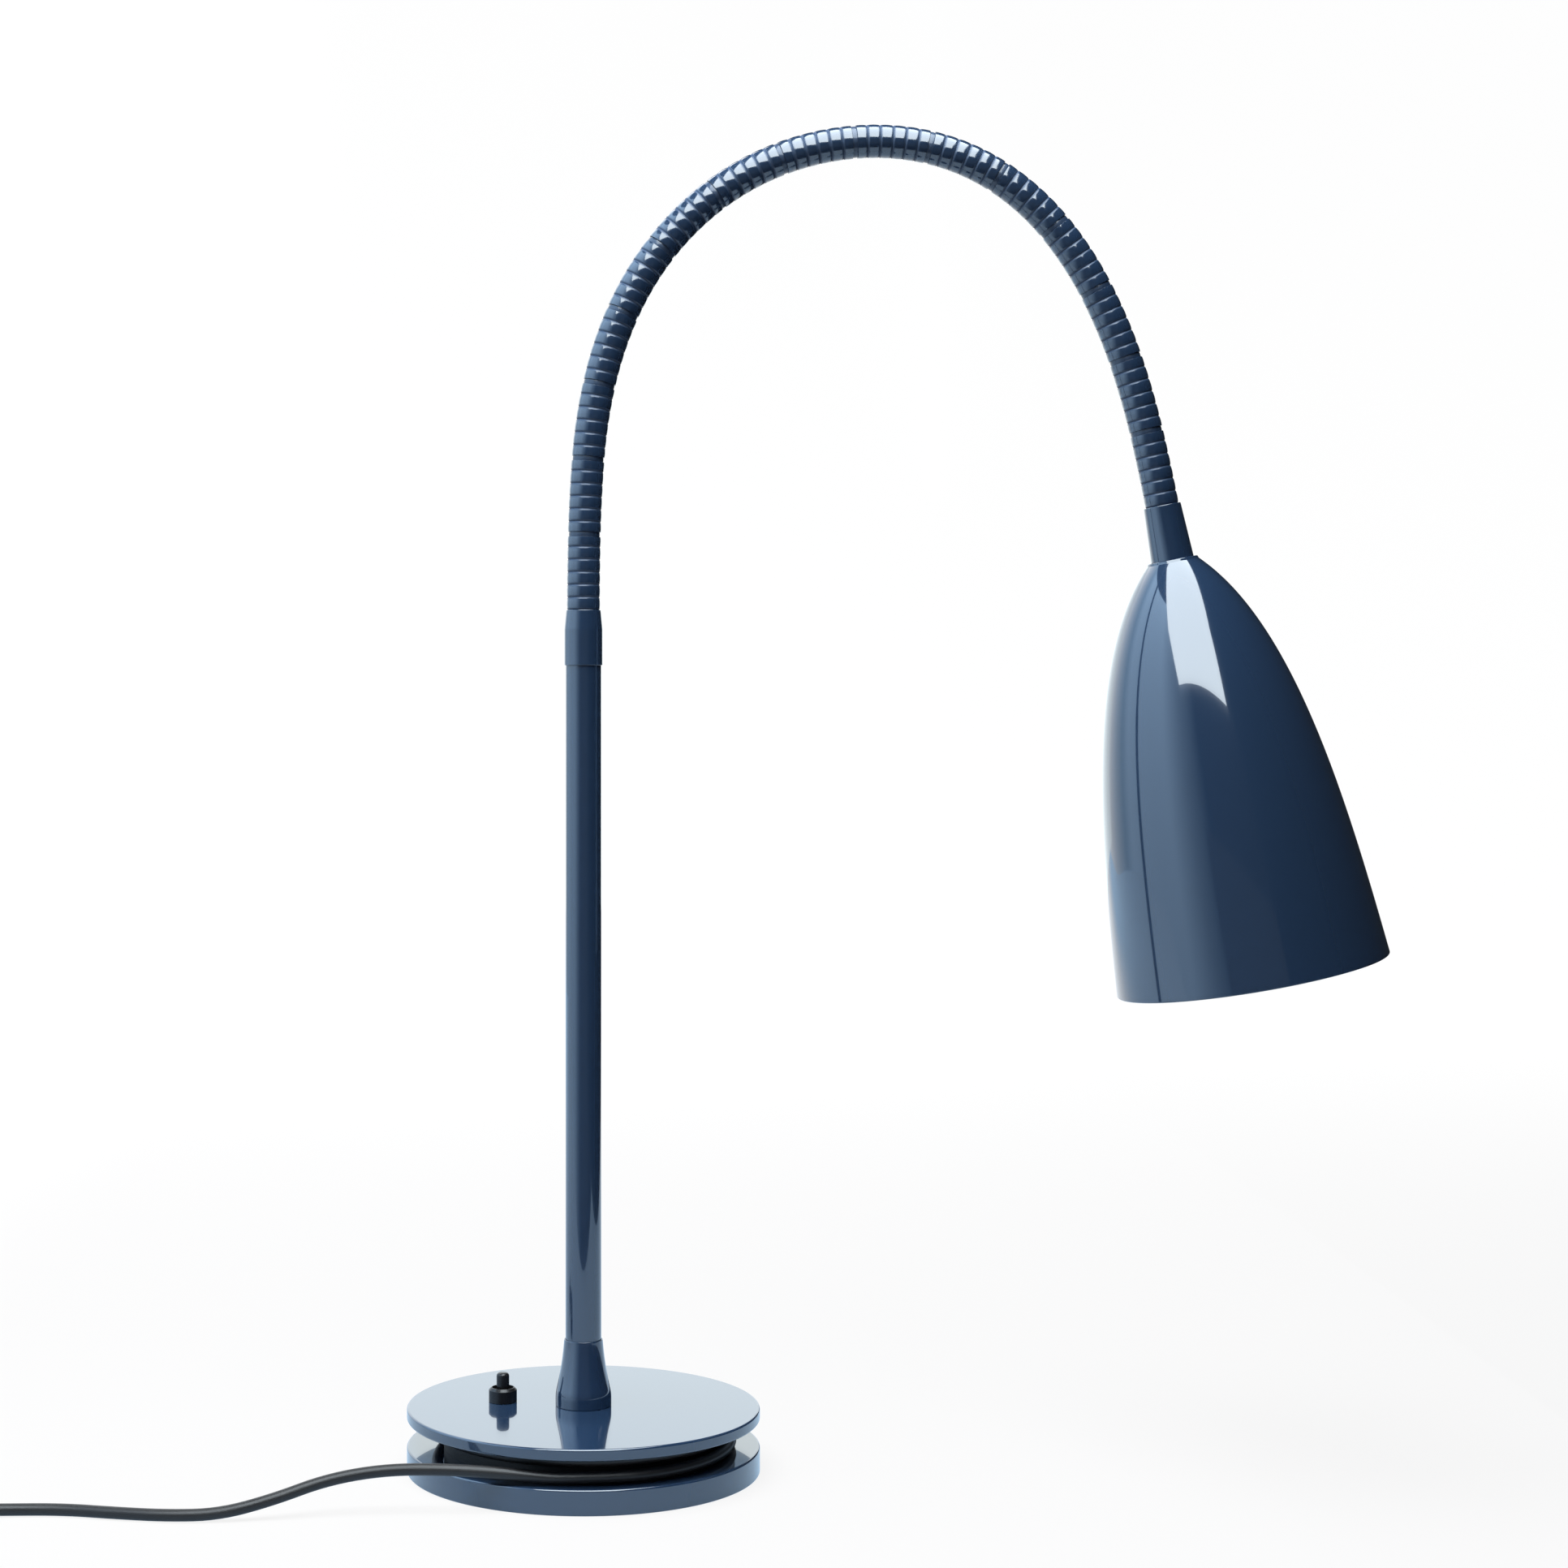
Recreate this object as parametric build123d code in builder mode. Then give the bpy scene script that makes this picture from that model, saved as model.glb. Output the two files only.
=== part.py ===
from build123d import *
import math
import os

os.makedirs("parts", exist_ok=True)

# A table lamp with a flexible neck. Lengths in millimetres, angles in degrees.
# It stands on z = 0 with its stem on the z axis. The neck bends over towards +x.

# Base: a foot pad, a heavy plate, a drum for the cord and a cover plate
base_diameter = 128.0
base_edge_round = 0.8
base_plate_thickness = 8.7
base_cover_thickness = 4.2
foot_pad_inset = 5.0
foot_pad_thickness = 2.0
foot_pad_proud = 0.4
drum_wall = 8.6
wiring_pocket_depth = 4.0
screw_count = 3
screw_first_angle = 30.0
screw_diameter = 4.0
screw_head_diameter = 7.6
screw_head_height = 2.2
screw_grip = 3.0

# Cord: two turns on the drum, a free length, a tied coil and a plug
cord_diameter = 4.2
cord_turn_gap = 0.45
groove_side_gap = 0.4
winding_depth = 11.1
winding_drum_gap = 0.2
winding_start_angle = 100.0
winding_drop_start_angle = -160.0
winding_drop_end_angle = -220.0
winding_loose_angle = -345.0
winding_loose_reach = 4.6
winding_end_angle = -450.0
entry_length = 22.0
entry_outer_reach = 2.4
entry_inner_reach = 21.0
entry_throat_reach = 5.0
entry_tail_reach = 9.0
entry_inner_length = 10.0
coil_centre_x = -248.0
coil_front_y = -66.0
coil_outer_radius = 32.0
coil_half_turns = 6
coil_lift = 0.7
coil_tail_length = 24.0
tie_width = 6.0
tie_thickness = 0.5
tie_gap = 0.3
tie_floor_gap = 0.05

# The free length of cord, from the drum at the front of the base to the coil
lead_points = [
    (-30.0, -57.4, 13.5),
    (-48.0, -57.3, 14.5),
    (-68.0, -57.4, 14.5),
    (-88.0, -59.8, 11.7),
    (-106.0, -66.0, 6.4),
    (-124.0, -69.6, 2.4),
    (-142.0, -70.0, 2.15),
    (-160.0, -66.6, 2.15),
    (-178.0, -62.2, 2.15),
    (-198.0, -62.6, 2.15),
]
lead_first_run = 8.0
lead_last_run = 22.0
lead_arc_share = 0.45

# Plug: flat two-pin mains plug, lying on its broad side
plug_width = 35.3
plug_thickness = 14.6
plug_body_length = 30.0
plug_back_width = 18.0
plug_back_thickness = 11.0
plug_corner_round = 4.0
plug_relief_length = 20.0
plug_relief_root_diameter = 9.0
plug_relief_tip_diameter = 6.2
plug_pin_diameter = 4.0
plug_pin_length = 19.0
plug_pin_spacing = 18.6
plug_pin_hold = 8.0

# Push-button switch in the base cover
switch_inset = 12.6
switch_y = 5.0
switch_body_size = 13.0
switch_body_depth = 12.0
switch_body_wall = 1.2
switch_bush_diameter = 7.6
switch_bush_height = 3.6
switch_nut_diameter = 10.2
switch_nut_height = 5.3
switch_nut_bevel = 0.9
button_diameter = 4.6
button_proud = 5.3
button_dome_round = 1.2
button_flange_diameter = 7.0
button_flange_thickness = 1.2
button_travel = 2.5
terminal_length = 18.0
terminal_width = 13.0
terminal_height = 6.6
wire_diameter = 2.4
wire_run_share = 0.3
bend_margin = 0.2

# Stem: a tube held to the cover by a threaded nipple, with a flared foot
stem_diameter = 13.0
stem_wall = 1.0
stem_length = 268.6
stem_foot_height = 24.0
stem_foot_diameter = 20.2
stem_foot_band_height = 4.5
stem_foot_top_diameter = 14.0
stem_foot_flare_share = 0.36
nipple_diameter = 8.0
stem_nipple_reach = 12.0
stem_nipple_drop = 6.2
stem_insert_length = 15.0
nut_across_flats = 13.0
nut_thickness = 4.0
washer_diameter = 18.0
washer_thickness = 1.0

# Neck: ribbed links on ball seats, between two ferrules
neck_length = 411.4
neck_turns = [1.4, 2.9, 8.2, 11.3, 14.0, 15.2, 16.3, 15.8, 17.8, 20.1, 17.6, 12.2, 8.3, 5.6, 2.4]
neck_ribs_per_link = 6
neck_crest_diameter = 12.1
neck_groove_diameter = 10.7
neck_rib_length = 3.5
neck_rib_flank = 0.6
neck_bore_diameter = 5.6
neck_ball_diameter = 9.6
neck_ball_gap = 0.2
neck_joint_limit = 17.0
neck_joint_clearance = 0.25
neck_seat_depth = 8.0
neck_seat_diameter = 10.0
ferrule_length = 20.1
ferrule_diameter = 13.9
ferrule_tip_diameter = 12.6
ferrule_taper_length = 7.0
ferrule_spigot_length = 16.0
head_ferrule_length = 20.0
head_ferrule_start_diameter = 13.4
head_ferrule_end_diameter = 15.4
lamp_cable_diameter = 4.0

# Head: spun shade, lampholder and bulb
shade_length = 153.4
shade_mouth_diameter = 98.3
shade_top_diameter = 18.0
shade_wall = 1.0
shade_edge_drop = 1.0
shade_edge_spread = 0.35
shade_curve_radius_shares = (0.761, 0.899)
shade_curve_length_shares = (0.194, 0.612)
shade_wall_radius_shares = (0.72, 0.80, 0.97, 1.0)
shade_wall_length_shares = (0.69, 0.60, 0.20, 0.0)
head_nipple_seat = 9.0
head_nipple_reach = 11.0
head_nut_diameter = 13.4
head_nut_thickness = 3.4
holder_neck_diameter = 14.4
holder_neck_length = 8.0
holder_diameter = 26.0
holder_shoulder_length = 7.0
holder_cap_length = 22.0
holder_wall = 1.5
holder_sleeve_length = 34.0
holder_core_length = 9.0
holder_core_lap = 4.0
bulb_cap_diameter = 13.8
bulb_cap_length = 24.0
bulb_contact_diameter = 6.0
bulb_contact_length = 1.6
bulb_diameter = 45.0
bulb_neck_diameter = 20.0
bulb_neck_length = 8.0
bulb_wall = 1.2

# Clearances
fit_gap = 0.1
run_gap = 0.06
free_gap = 0.4

# Heights that several pieces share
cord_radius = cord_diameter / 2
base_radius = base_diameter / 2
plate_bottom = foot_pad_proud
plate_top = plate_bottom + base_plate_thickness
groove_height = 2 * cord_diameter + cord_turn_gap + 2 * groove_side_gap
cover_bottom = plate_top + groove_height
cover_top = cover_bottom + base_cover_thickness
pad_seat = foot_pad_thickness
pocket_floor = plate_top - wiring_pocket_depth
low_turn_z = plate_top + groove_side_gap + cord_radius
high_turn_z = low_turn_z + cord_diameter + cord_turn_gap
foot_pad_radius = base_radius - foot_pad_inset
winding_radius = base_radius - winding_depth
drum_radius = winding_radius - cord_radius - winding_drum_gap
chamber_radius = drum_radius - drum_wall
switch_x = switch_inset - chamber_radius
stem_inner_radius = stem_diameter / 2 - stem_wall
stem_top = cover_top + stem_length
neck_start = stem_top + ferrule_length
bore_radius = neck_bore_diameter / 2
nipple_radius = nipple_diameter / 2
screw_circle_radius = (drum_radius + chamber_radius) / 2
LOW = (Align.CENTER, Align.CENTER, Align.MIN)


def height(z):
    """Level plane at a height above the table."""
    return Plane(origin=(0, 0, z))


def upright(plane):
    """Plane whose x runs out from a plane's axis and whose y runs along it."""
    return Plane(origin=plane.origin, x_dir=plane.x_dir, z_dir=-plane.y_dir)


def axis_of(plane):
    """Turning axis of a plane."""
    return Axis(plane.origin, plane.z_dir)


def biarc(start, start_dir, end, end_dir):
    """Two arcs that leave one point along a direction and reach another along a second.

    Both arcs have tangents of equal length: the positive root of the condition
    that the join lies as far from each end's tangent point.
    """
    span = end - start
    sum_dir = start_dir + end_dir
    a = 2 * (1 - start_dir.dot(end_dir))
    b = 2 * span.dot(sum_dir)
    c = -span.dot(span)
    reach = -c / b if abs(a) < 1e-9 else (-b + math.sqrt(b * b - 4 * a * c)) / (2 * a)
    join = (start + end + (start_dir - end_dir) * reach) / 2
    TangentArc(start, join, tangent=start_dir)
    TangentArc(end, join, tangent=-end_dir)


# Foot pad: a felt disc set into the underside of the plate
with BuildPart() as foot_pad:
    with BuildSketch(height(0)):
        Circle(foot_pad_radius)
    extrude(amount=foot_pad_thickness)
foot_pad.part.label = "foot_pad"
export_step(foot_pad.part, "parts/foot_pad.step")

# Entry: the cord leaves the chamber through a tapered block keyed into the drum
start_turn = math.radians(winding_start_angle)
start_out = Vector(math.cos(start_turn), math.sin(start_turn), 0)
start_along = Vector(math.sin(start_turn), -math.cos(start_turn), 0)
winding_start = start_out * winding_radius + Vector(0, 0, high_turn_z)
entry_face = winding_start - start_along * cord_diameter
entry_plane = Plane(origin=entry_face, x_dir=-start_along, z_dir=(0, 0, 1))
entry_outline = [
    (0, -entry_outer_reach),
    (0, entry_throat_reach),
    (entry_length - entry_inner_length, entry_inner_reach),
    (entry_length, entry_inner_reach),
    (entry_length, entry_tail_reach),
]
entry_half_height = cord_radius

with BuildPart() as cord_entry:
    with BuildSketch(entry_plane):
        Polygon(*entry_outline, align=None)
    extrude(amount=entry_half_height, both=True)
cord_entry.part.label = "cord_entry"
export_step(cord_entry.part, "parts/cord_entry.step")

# Switch and terminal places, turned to face the cord entry
switch_plane = Plane(origin=(switch_x, switch_y, cover_bottom), x_dir=-start_along, z_dir=(0, 0, 1))
switch_top_plane = Plane(origin=(switch_x, switch_y, cover_top), z_dir=(0, 0, 1))

# Screws: countersunk, up through plate and drum into the cover
screw_shank_length = plate_top - pad_seat + groove_height + screw_grip
screw_places = []
for screw in range(screw_count):
    screw_turn = math.radians(screw_first_angle + screw * 360 / screw_count)
    screw_x = screw_circle_radius * math.cos(screw_turn)
    screw_y = screw_circle_radius * math.sin(screw_turn)
    screw_places.append((screw_x, screw_y, pad_seat))

with BuildPart() as base_screws:
    with Locations(*screw_places):
        Cone(screw_head_diameter / 2, screw_diameter / 2, screw_head_height, align=LOW)
        Cylinder(screw_diameter / 2, screw_shank_length, align=LOW)
base_screws.part.label = "base_screws"
export_step(base_screws.part, "parts/base_screws.step")

# Base plate: turned steel disc with a pad seat below and wiring pockets above
with BuildPart() as base_plate:
    with BuildSketch(height(plate_bottom)):
        Circle(base_radius)
    extrude(amount=base_plate_thickness)
    fillet(base_plate.edges().filter_by(GeomType.CIRCLE), base_edge_round)
    with BuildSketch(height(plate_bottom)):
        Circle(foot_pad_radius + fit_gap)
    extrude(amount=pad_seat - plate_bottom, mode=Mode.SUBTRACT)
    with BuildSketch(height(pocket_floor)):
        Rectangle(terminal_length + 2 * free_gap, terminal_width + 2 * free_gap)
    extrude(amount=wiring_pocket_depth, mode=Mode.SUBTRACT)
    with BuildSketch(Plane(origin=(switch_x, switch_y, pocket_floor), x_dir=-start_along, z_dir=(0, 0, 1))):
        Rectangle(switch_body_size + 2 * free_gap, switch_body_size + 2 * free_gap)
    extrude(amount=wiring_pocket_depth, mode=Mode.SUBTRACT)
    with Locations(*screw_places):
        Cone(
            screw_head_diameter / 2 + fit_gap,
            screw_diameter / 2 + fit_gap,
            screw_head_height,
            align=LOW,
            mode=Mode.SUBTRACT,
        )
        Cylinder(screw_diameter / 2 + fit_gap, screw_shank_length, align=LOW, mode=Mode.SUBTRACT)
base_plate.part.label = "base_plate"
export_step(base_plate.part, "parts/base_plate.step")

# Drum: cast ring that the cord is wound on, hollow for the wiring
with BuildPart() as cord_drum:
    with BuildSketch(height(plate_top)):
        Circle(drum_radius)
        Circle(chamber_radius, mode=Mode.SUBTRACT)
    extrude(amount=groove_height)
    with Locations(*screw_places):
        Cylinder(screw_diameter / 2 + fit_gap, screw_shank_length, align=LOW, mode=Mode.SUBTRACT)
    with BuildSketch(entry_plane):
        with BuildLine():
            Polyline(*entry_outline, close=True)
        make_face()
        offset(amount=fit_gap, kind=Kind.INTERSECTION)
    extrude(amount=entry_half_height + fit_gap, both=True, mode=Mode.SUBTRACT)
cord_drum.part.label = "cord_drum"
export_step(cord_drum.part, "parts/cord_drum.step")

# Base cover: turned steel disc with holes for the nipple and the switch
with BuildPart() as base_cover:
    with BuildSketch(height(cover_bottom)):
        Circle(base_radius)
    extrude(amount=base_cover_thickness)
    fillet(base_cover.edges().filter_by(GeomType.CIRCLE), base_edge_round)
    with BuildSketch(height(cover_bottom)):
        Circle(nipple_radius + fit_gap)
        with Locations((switch_x, switch_y)):
            Circle(switch_bush_diameter / 2 + fit_gap)
    extrude(amount=base_cover_thickness, mode=Mode.SUBTRACT)
    with Locations(*screw_places):
        Cylinder(screw_diameter / 2 + fit_gap, screw_shank_length, align=LOW, mode=Mode.SUBTRACT)
base_cover.part.label = "base_cover"
export_step(base_cover.part, "parts/base_cover.step")

# Switch housing: square body under the cover, with a bush up through it
button_bottom = cover_bottom - switch_body_wall - button_flange_thickness
cavity_depth = button_flange_thickness + button_travel + free_gap
bush_top = cover_top + switch_bush_height

with BuildPart() as switch_housing:
    with BuildSketch(switch_plane):
        Rectangle(switch_body_size, switch_body_size)
    extrude(amount=-switch_body_depth)
    with BuildSketch(Plane(origin=(switch_x, switch_y, cover_bottom))):
        Circle(switch_bush_diameter / 2)
    extrude(amount=bush_top - cover_bottom)
    with BuildSketch(Plane(origin=(switch_x, switch_y, bush_top))):
        Circle(button_diameter / 2 + run_gap)
    extrude(amount=cover_bottom - switch_body_wall - bush_top, mode=Mode.SUBTRACT)
    with BuildSketch(Plane(origin=(switch_x, switch_y, cover_bottom - switch_body_wall))):
        Circle(button_flange_diameter / 2 + free_gap)
    extrude(amount=-cavity_depth, mode=Mode.SUBTRACT)
switch_housing.part.label = "switch_housing"
export_step(switch_housing.part, "parts/switch_housing.step")

# Switch nut: bevelled black cap nut on the bush, standing on the cover
with BuildPart() as switch_nut:
    with BuildSketch(switch_top_plane):
        Circle(switch_nut_diameter / 2)
    extrude(amount=switch_nut_height)
    chamfer(switch_nut.faces().sort_by(Axis.Z)[-1].edges(), switch_nut_bevel)
    with BuildSketch(switch_top_plane):
        Circle(button_diameter / 2 + free_gap)
    extrude(amount=switch_nut_height, mode=Mode.SUBTRACT)
    with BuildSketch(switch_top_plane):
        Circle(switch_bush_diameter / 2 + fit_gap)
    extrude(amount=switch_bush_height + fit_gap, mode=Mode.SUBTRACT)
switch_nut.part.label = "switch_nut"
export_step(switch_nut.part, "parts/switch_nut.step")

# Switch button: domed pin, kept in by a flange under the bush
button_top = cover_top + switch_nut_height + button_proud

with BuildPart() as switch_button:
    with BuildSketch(Plane(origin=(switch_x, switch_y, button_bottom))):
        Circle(button_diameter / 2)
    extrude(amount=button_top - button_bottom)
    fillet(switch_button.faces().sort_by(Axis.Z)[-1].edges(), button_dome_round)
    with BuildSketch(Plane(origin=(switch_x, switch_y, button_bottom))):
        Circle(button_flange_diameter / 2)
    extrude(amount=button_flange_thickness)
switch_button.part.label = "switch_button"
export_step(switch_button.part, "parts/switch_button.step")

# Terminal block: in the pocket under the stem, where the lamp cable ends
terminal_top = pocket_floor + terminal_height

with BuildPart() as terminal_block:
    with BuildSketch(height(pocket_floor)):
        Rectangle(terminal_length, terminal_width)
    extrude(amount=terminal_height)
terminal_block.part.label = "terminal_block"
export_step(terminal_block.part, "parts/terminal_block.step")

# Mains tail: the cord's inner end, from the entry block to the switch
tail_start = entry_plane.from_local_coords(
    Vector(entry_length - cord_radius - fit_gap, entry_inner_reach, 0)
)
tail_end = Vector(switch_x, switch_y, high_turn_z) + start_out * (switch_body_size / 2)
tail_run = start_out * ((tail_start - tail_end).dot(start_out) * wire_run_share)

with BuildPart() as mains_tail:
    with BuildLine() as tail_line:
        FilletPolyline(
            tail_start,
            tail_start - tail_run,
            tail_end + tail_run,
            tail_end,
            radius=cord_radius + bend_margin,
        )
    with BuildSketch(Plane(origin=tail_start, z_dir=-start_out)):
        Circle(cord_radius)
    sweep(path=tail_line.wire())
mains_tail.part.label = "mains_tail"
export_step(mains_tail.part, "parts/mains_tail.step")

# Switch wire: from the switch to the terminal block
wire_height = plate_top + wire_diameter / 2 + fit_gap
wire_start = Vector(switch_x, switch_y, wire_height) + start_along * (switch_body_size / 2)
wire_end = Vector(-terminal_length / 2, 0, wire_height)

with BuildPart() as switch_wire:
    with BuildLine() as wire_line:
        biarc(wire_start, start_along, wire_end, Vector(1, 0, 0))
    with BuildSketch(Plane(origin=wire_start, z_dir=start_along)):
        Circle(wire_diameter / 2)
    sweep(path=wire_line.wire())
switch_wire.part.label = "switch_wire"
export_step(switch_wire.part, "parts/switch_wire.step")

# Stem tube, standing on the cover
with BuildPart() as stem_tube:
    with BuildSketch(height(cover_top)):
        Circle(stem_diameter / 2)
        Circle(stem_inner_radius, mode=Mode.SUBTRACT)
    extrude(amount=stem_length)
stem_tube.part.label = "stem_tube"
export_step(stem_tube.part, "parts/stem_tube.step")

# Stem foot: flared collar round the bottom of the tube
foot_inner_radius = stem_diameter / 2 + fit_gap
flare_bottom = cover_top + stem_foot_band_height
flare_top = cover_top + stem_foot_height
flare_middle_radius = stem_foot_top_diameter / 2 + stem_foot_flare_share * (
    stem_foot_diameter - stem_foot_top_diameter
) / 2
flare_middle_z = (flare_bottom + flare_top) / 2

with BuildPart() as stem_foot:
    with BuildSketch(Plane.XZ):
        with BuildLine():
            Line((foot_inner_radius, cover_top), (stem_foot_diameter / 2, cover_top))
            Line((stem_foot_diameter / 2, cover_top), (stem_foot_diameter / 2, flare_bottom))
            ThreePointArc(
                (stem_foot_diameter / 2, flare_bottom),
                (flare_middle_radius, flare_middle_z),
                (stem_foot_top_diameter / 2, flare_top),
            )
            Line((stem_foot_top_diameter / 2, flare_top), (foot_inner_radius, flare_top))
            Line((foot_inner_radius, flare_top), (foot_inner_radius, cover_top))
        make_face()
    revolve(axis=Axis.Z)
stem_foot.part.label = "stem_foot"
export_step(stem_foot.part, "parts/stem_foot.step")

# Stem insert: plug in the bottom of the tube that takes the nipple
with BuildPart() as stem_insert:
    with BuildSketch(height(cover_top)):
        Circle(stem_inner_radius - fit_gap)
        Circle(nipple_radius + fit_gap, mode=Mode.SUBTRACT)
    extrude(amount=stem_insert_length)
stem_insert.part.label = "stem_insert"
export_step(stem_insert.part, "parts/stem_insert.step")

# Stem nipple: hollow threaded rod through the cover
nipple_bottom = cover_bottom - stem_nipple_drop

with BuildPart() as stem_nipple:
    with BuildSketch(height(nipple_bottom)):
        Circle(nipple_radius)
        Circle(bore_radius, mode=Mode.SUBTRACT)
    extrude(amount=cover_top + stem_nipple_reach - nipple_bottom)
stem_nipple.part.label = "stem_nipple"
export_step(stem_nipple.part, "parts/stem_nipple.step")

# Washer and nut, under the cover
washer_bottom = cover_bottom - washer_thickness

with BuildPart() as stem_washer:
    with BuildSketch(height(washer_bottom)):
        Circle(washer_diameter / 2)
        Circle(nipple_radius + fit_gap, mode=Mode.SUBTRACT)
    extrude(amount=washer_thickness)
stem_washer.part.label = "stem_washer"
export_step(stem_washer.part, "parts/stem_washer.step")

with BuildPart() as stem_nut:
    with BuildSketch(height(washer_bottom - nut_thickness)):
        RegularPolygon(nut_across_flats / 2, 6, major_radius=False)
        Circle(nipple_radius + fit_gap, mode=Mode.SUBTRACT)
    extrude(amount=nut_thickness)
stem_nut.part.label = "stem_nut"
export_step(stem_nut.part, "parts/stem_nut.step")

# Neck ferrule: turned cap on the tube that holds the lower end of the neck
ferrule_shoulder = neck_start - ferrule_taper_length
seat_radius = neck_seat_diameter / 2
seat_bottom = neck_start - neck_seat_depth

with BuildPart() as neck_ferrule:
    with BuildSketch(Plane.XZ):
        Polygon(
            (bore_radius, stem_top - ferrule_spigot_length),
            (stem_inner_radius - fit_gap, stem_top - ferrule_spigot_length),
            (stem_inner_radius - fit_gap, stem_top),
            (ferrule_diameter / 2, stem_top),
            (ferrule_diameter / 2, ferrule_shoulder),
            (ferrule_tip_diameter / 2, neck_start),
            (seat_radius + fit_gap, neck_start),
            (seat_radius + fit_gap, seat_bottom),
            (bore_radius, seat_bottom),
            align=None,
        )
    revolve(axis=Axis.Z)
neck_ferrule.part.label = "neck_ferrule"
export_step(neck_ferrule.part, "parts/neck_ferrule.step")

# Neck line: one arc per link, each turning the neck further over
link_count = len(neck_turns)
link_length = neck_length / link_count
link_starts = []
link_leans = []
place = Vector(0, 0, neck_start)
lean = 0.0


def lean_dir(degrees):
    """Direction leaning from straight up towards +x."""
    return Vector(math.sin(math.radians(degrees)), 0, math.cos(math.radians(degrees)))


def along_link(link, run):
    """Point on a link's arc, a run from its start: a chord at half the turn so far."""
    half = neck_turns[link] * run / link_length / 2
    shrink = math.sin(math.radians(half)) / math.radians(half) if half else 1.0
    return link_starts[link] + lean_dir(link_leans[link] + half) * (run * shrink)


def link_plane(link, run):
    """Plane across a link's arc, a run from its start."""
    turned = link_leans[link] + neck_turns[link] * run / link_length
    return Plane(origin=along_link(link, run), x_dir=(0, 1, 0), z_dir=lean_dir(turned))


for link in range(link_count):
    link_starts.append(place)
    link_leans.append(lean)
    place = along_link(link, link_length)
    lean += neck_turns[link]
    print("pivot", link + 1, [round(v, 3) for v in place], "lean", round(lean, 3))

# Neck links: six ribs each, a ball at the upper end and a ball seat at the lower end.
# The first and last have a plain spigot in place of the seat and the ball.
joint_gap = neck_groove_diameter / 2 * math.sin(math.radians(neck_joint_limit)) + neck_joint_clearance
rib_span = link_length - joint_gap
rib_land = (rib_span - neck_ribs_per_link * neck_rib_length) / (neck_ribs_per_link - 1)
groove_radius = neck_groove_diameter / 2
crest_radius = neck_crest_diameter / 2
ball_radius = neck_ball_diameter / 2

for link in range(link_count):
    first = link == 0
    last = link == link_count - 1
    with BuildPart() as neck_link:
        for rib in range(neck_ribs_per_link):
            rib_start = rib * (neck_rib_length + rib_land)
            rib_end = rib_start + neck_rib_length
            for run, radius in (
                (rib_start, groove_radius),
                (rib_start + neck_rib_flank, crest_radius),
                (rib_end - neck_rib_flank, crest_radius),
                (rib_end, groove_radius),
            ):
                with BuildSketch(link_plane(link, run)):
                    Circle(radius)
        loft(ruled=True)
        if first:
            with BuildSketch(link_plane(link, 0)):
                Circle(seat_radius)
            extrude(amount=-neck_seat_depth)
        else:
            with Locations(link_starts[link]):
                Sphere(ball_radius + neck_ball_gap, mode=Mode.SUBTRACT)
        if last:
            spigot_lap = joint_gap + neck_rib_flank
            with BuildSketch(link_plane(link, link_length).offset(-spigot_lap)):
                Circle(seat_radius)
            extrude(amount=spigot_lap + neck_seat_depth)
        else:
            with Locations(link_plane(link, link_length).origin):
                Sphere(ball_radius)
        bore_in = link_starts[link] - lean_dir(link_leans[link]) * (2 * neck_seat_depth)
        link_end = along_link(link, link_length)
        bore_out = link_end + lean_dir(link_leans[link] + neck_turns[link]) * (2 * neck_seat_depth)
        with BuildLine() as bore_line:
            Line(bore_in, link_starts[link])
            ThreePointArc(link_starts[link], along_link(link, link_length / 2), link_end)
            Line(link_end, bore_out)
        with BuildSketch(Plane(origin=bore_in, x_dir=(0, 1, 0), z_dir=lean_dir(link_leans[link]))):
            Circle(bore_radius)
        sweep(path=bore_line.wire(), mode=Mode.SUBTRACT)
    link_name = f"neck_link_{link:02d}"
    neck_link.part.label = link_name
    export_step(neck_link.part, f"parts/{link_name}.step")

# Head: everything past the neck lies along its last direction
head_plane = link_plane(link_count - 1, link_length)
head_side = upright(head_plane)
head_axis = axis_of(head_plane)
shade_start = head_ferrule_length
nipple_start = shade_start - head_nipple_seat

# Head ferrule: tapered sleeve between the neck and the shade
with BuildPart() as head_ferrule:
    with BuildSketch(head_side):
        Polygon(
            (seat_radius + fit_gap, 0),
            (head_ferrule_start_diameter / 2, 0),
            (head_ferrule_end_diameter / 2, shade_start),
            (nipple_radius + fit_gap, shade_start),
            (nipple_radius + fit_gap, nipple_start),
            (bore_radius, nipple_start),
            (bore_radius, neck_seat_depth),
            (seat_radius + fit_gap, neck_seat_depth),
            align=None,
        )
    revolve(axis=head_axis)
head_ferrule.part.label = "head_ferrule"
export_step(head_ferrule.part, "parts/head_ferrule.step")

# Shade: spun from one sheet, flat on top and open at the mouth
mouth_radius = shade_mouth_diameter / 2
mouth = shade_start + shade_length
shade_flat_radius = shade_top_diameter / 2
outer_curve = [
    (shade_flat_radius + shade_edge_spread, shade_start + shade_edge_drop),
    (mouth_radius * shade_curve_radius_shares[0], shade_start + shade_length * shade_curve_length_shares[0]),
    (mouth_radius * shade_curve_radius_shares[1], shade_start + shade_length * shade_curve_length_shares[1]),
    (mouth_radius, mouth),
]
inner_curve = [
    (point[0] - shade_wall * radius_share, point[1] + shade_wall * length_share)
    for point, radius_share, length_share in zip(
        outer_curve, shade_wall_radius_shares, shade_wall_length_shares
    )
]
shade_hole_radius = nipple_radius + fit_gap
shade_inside = shade_start + shade_wall

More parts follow.
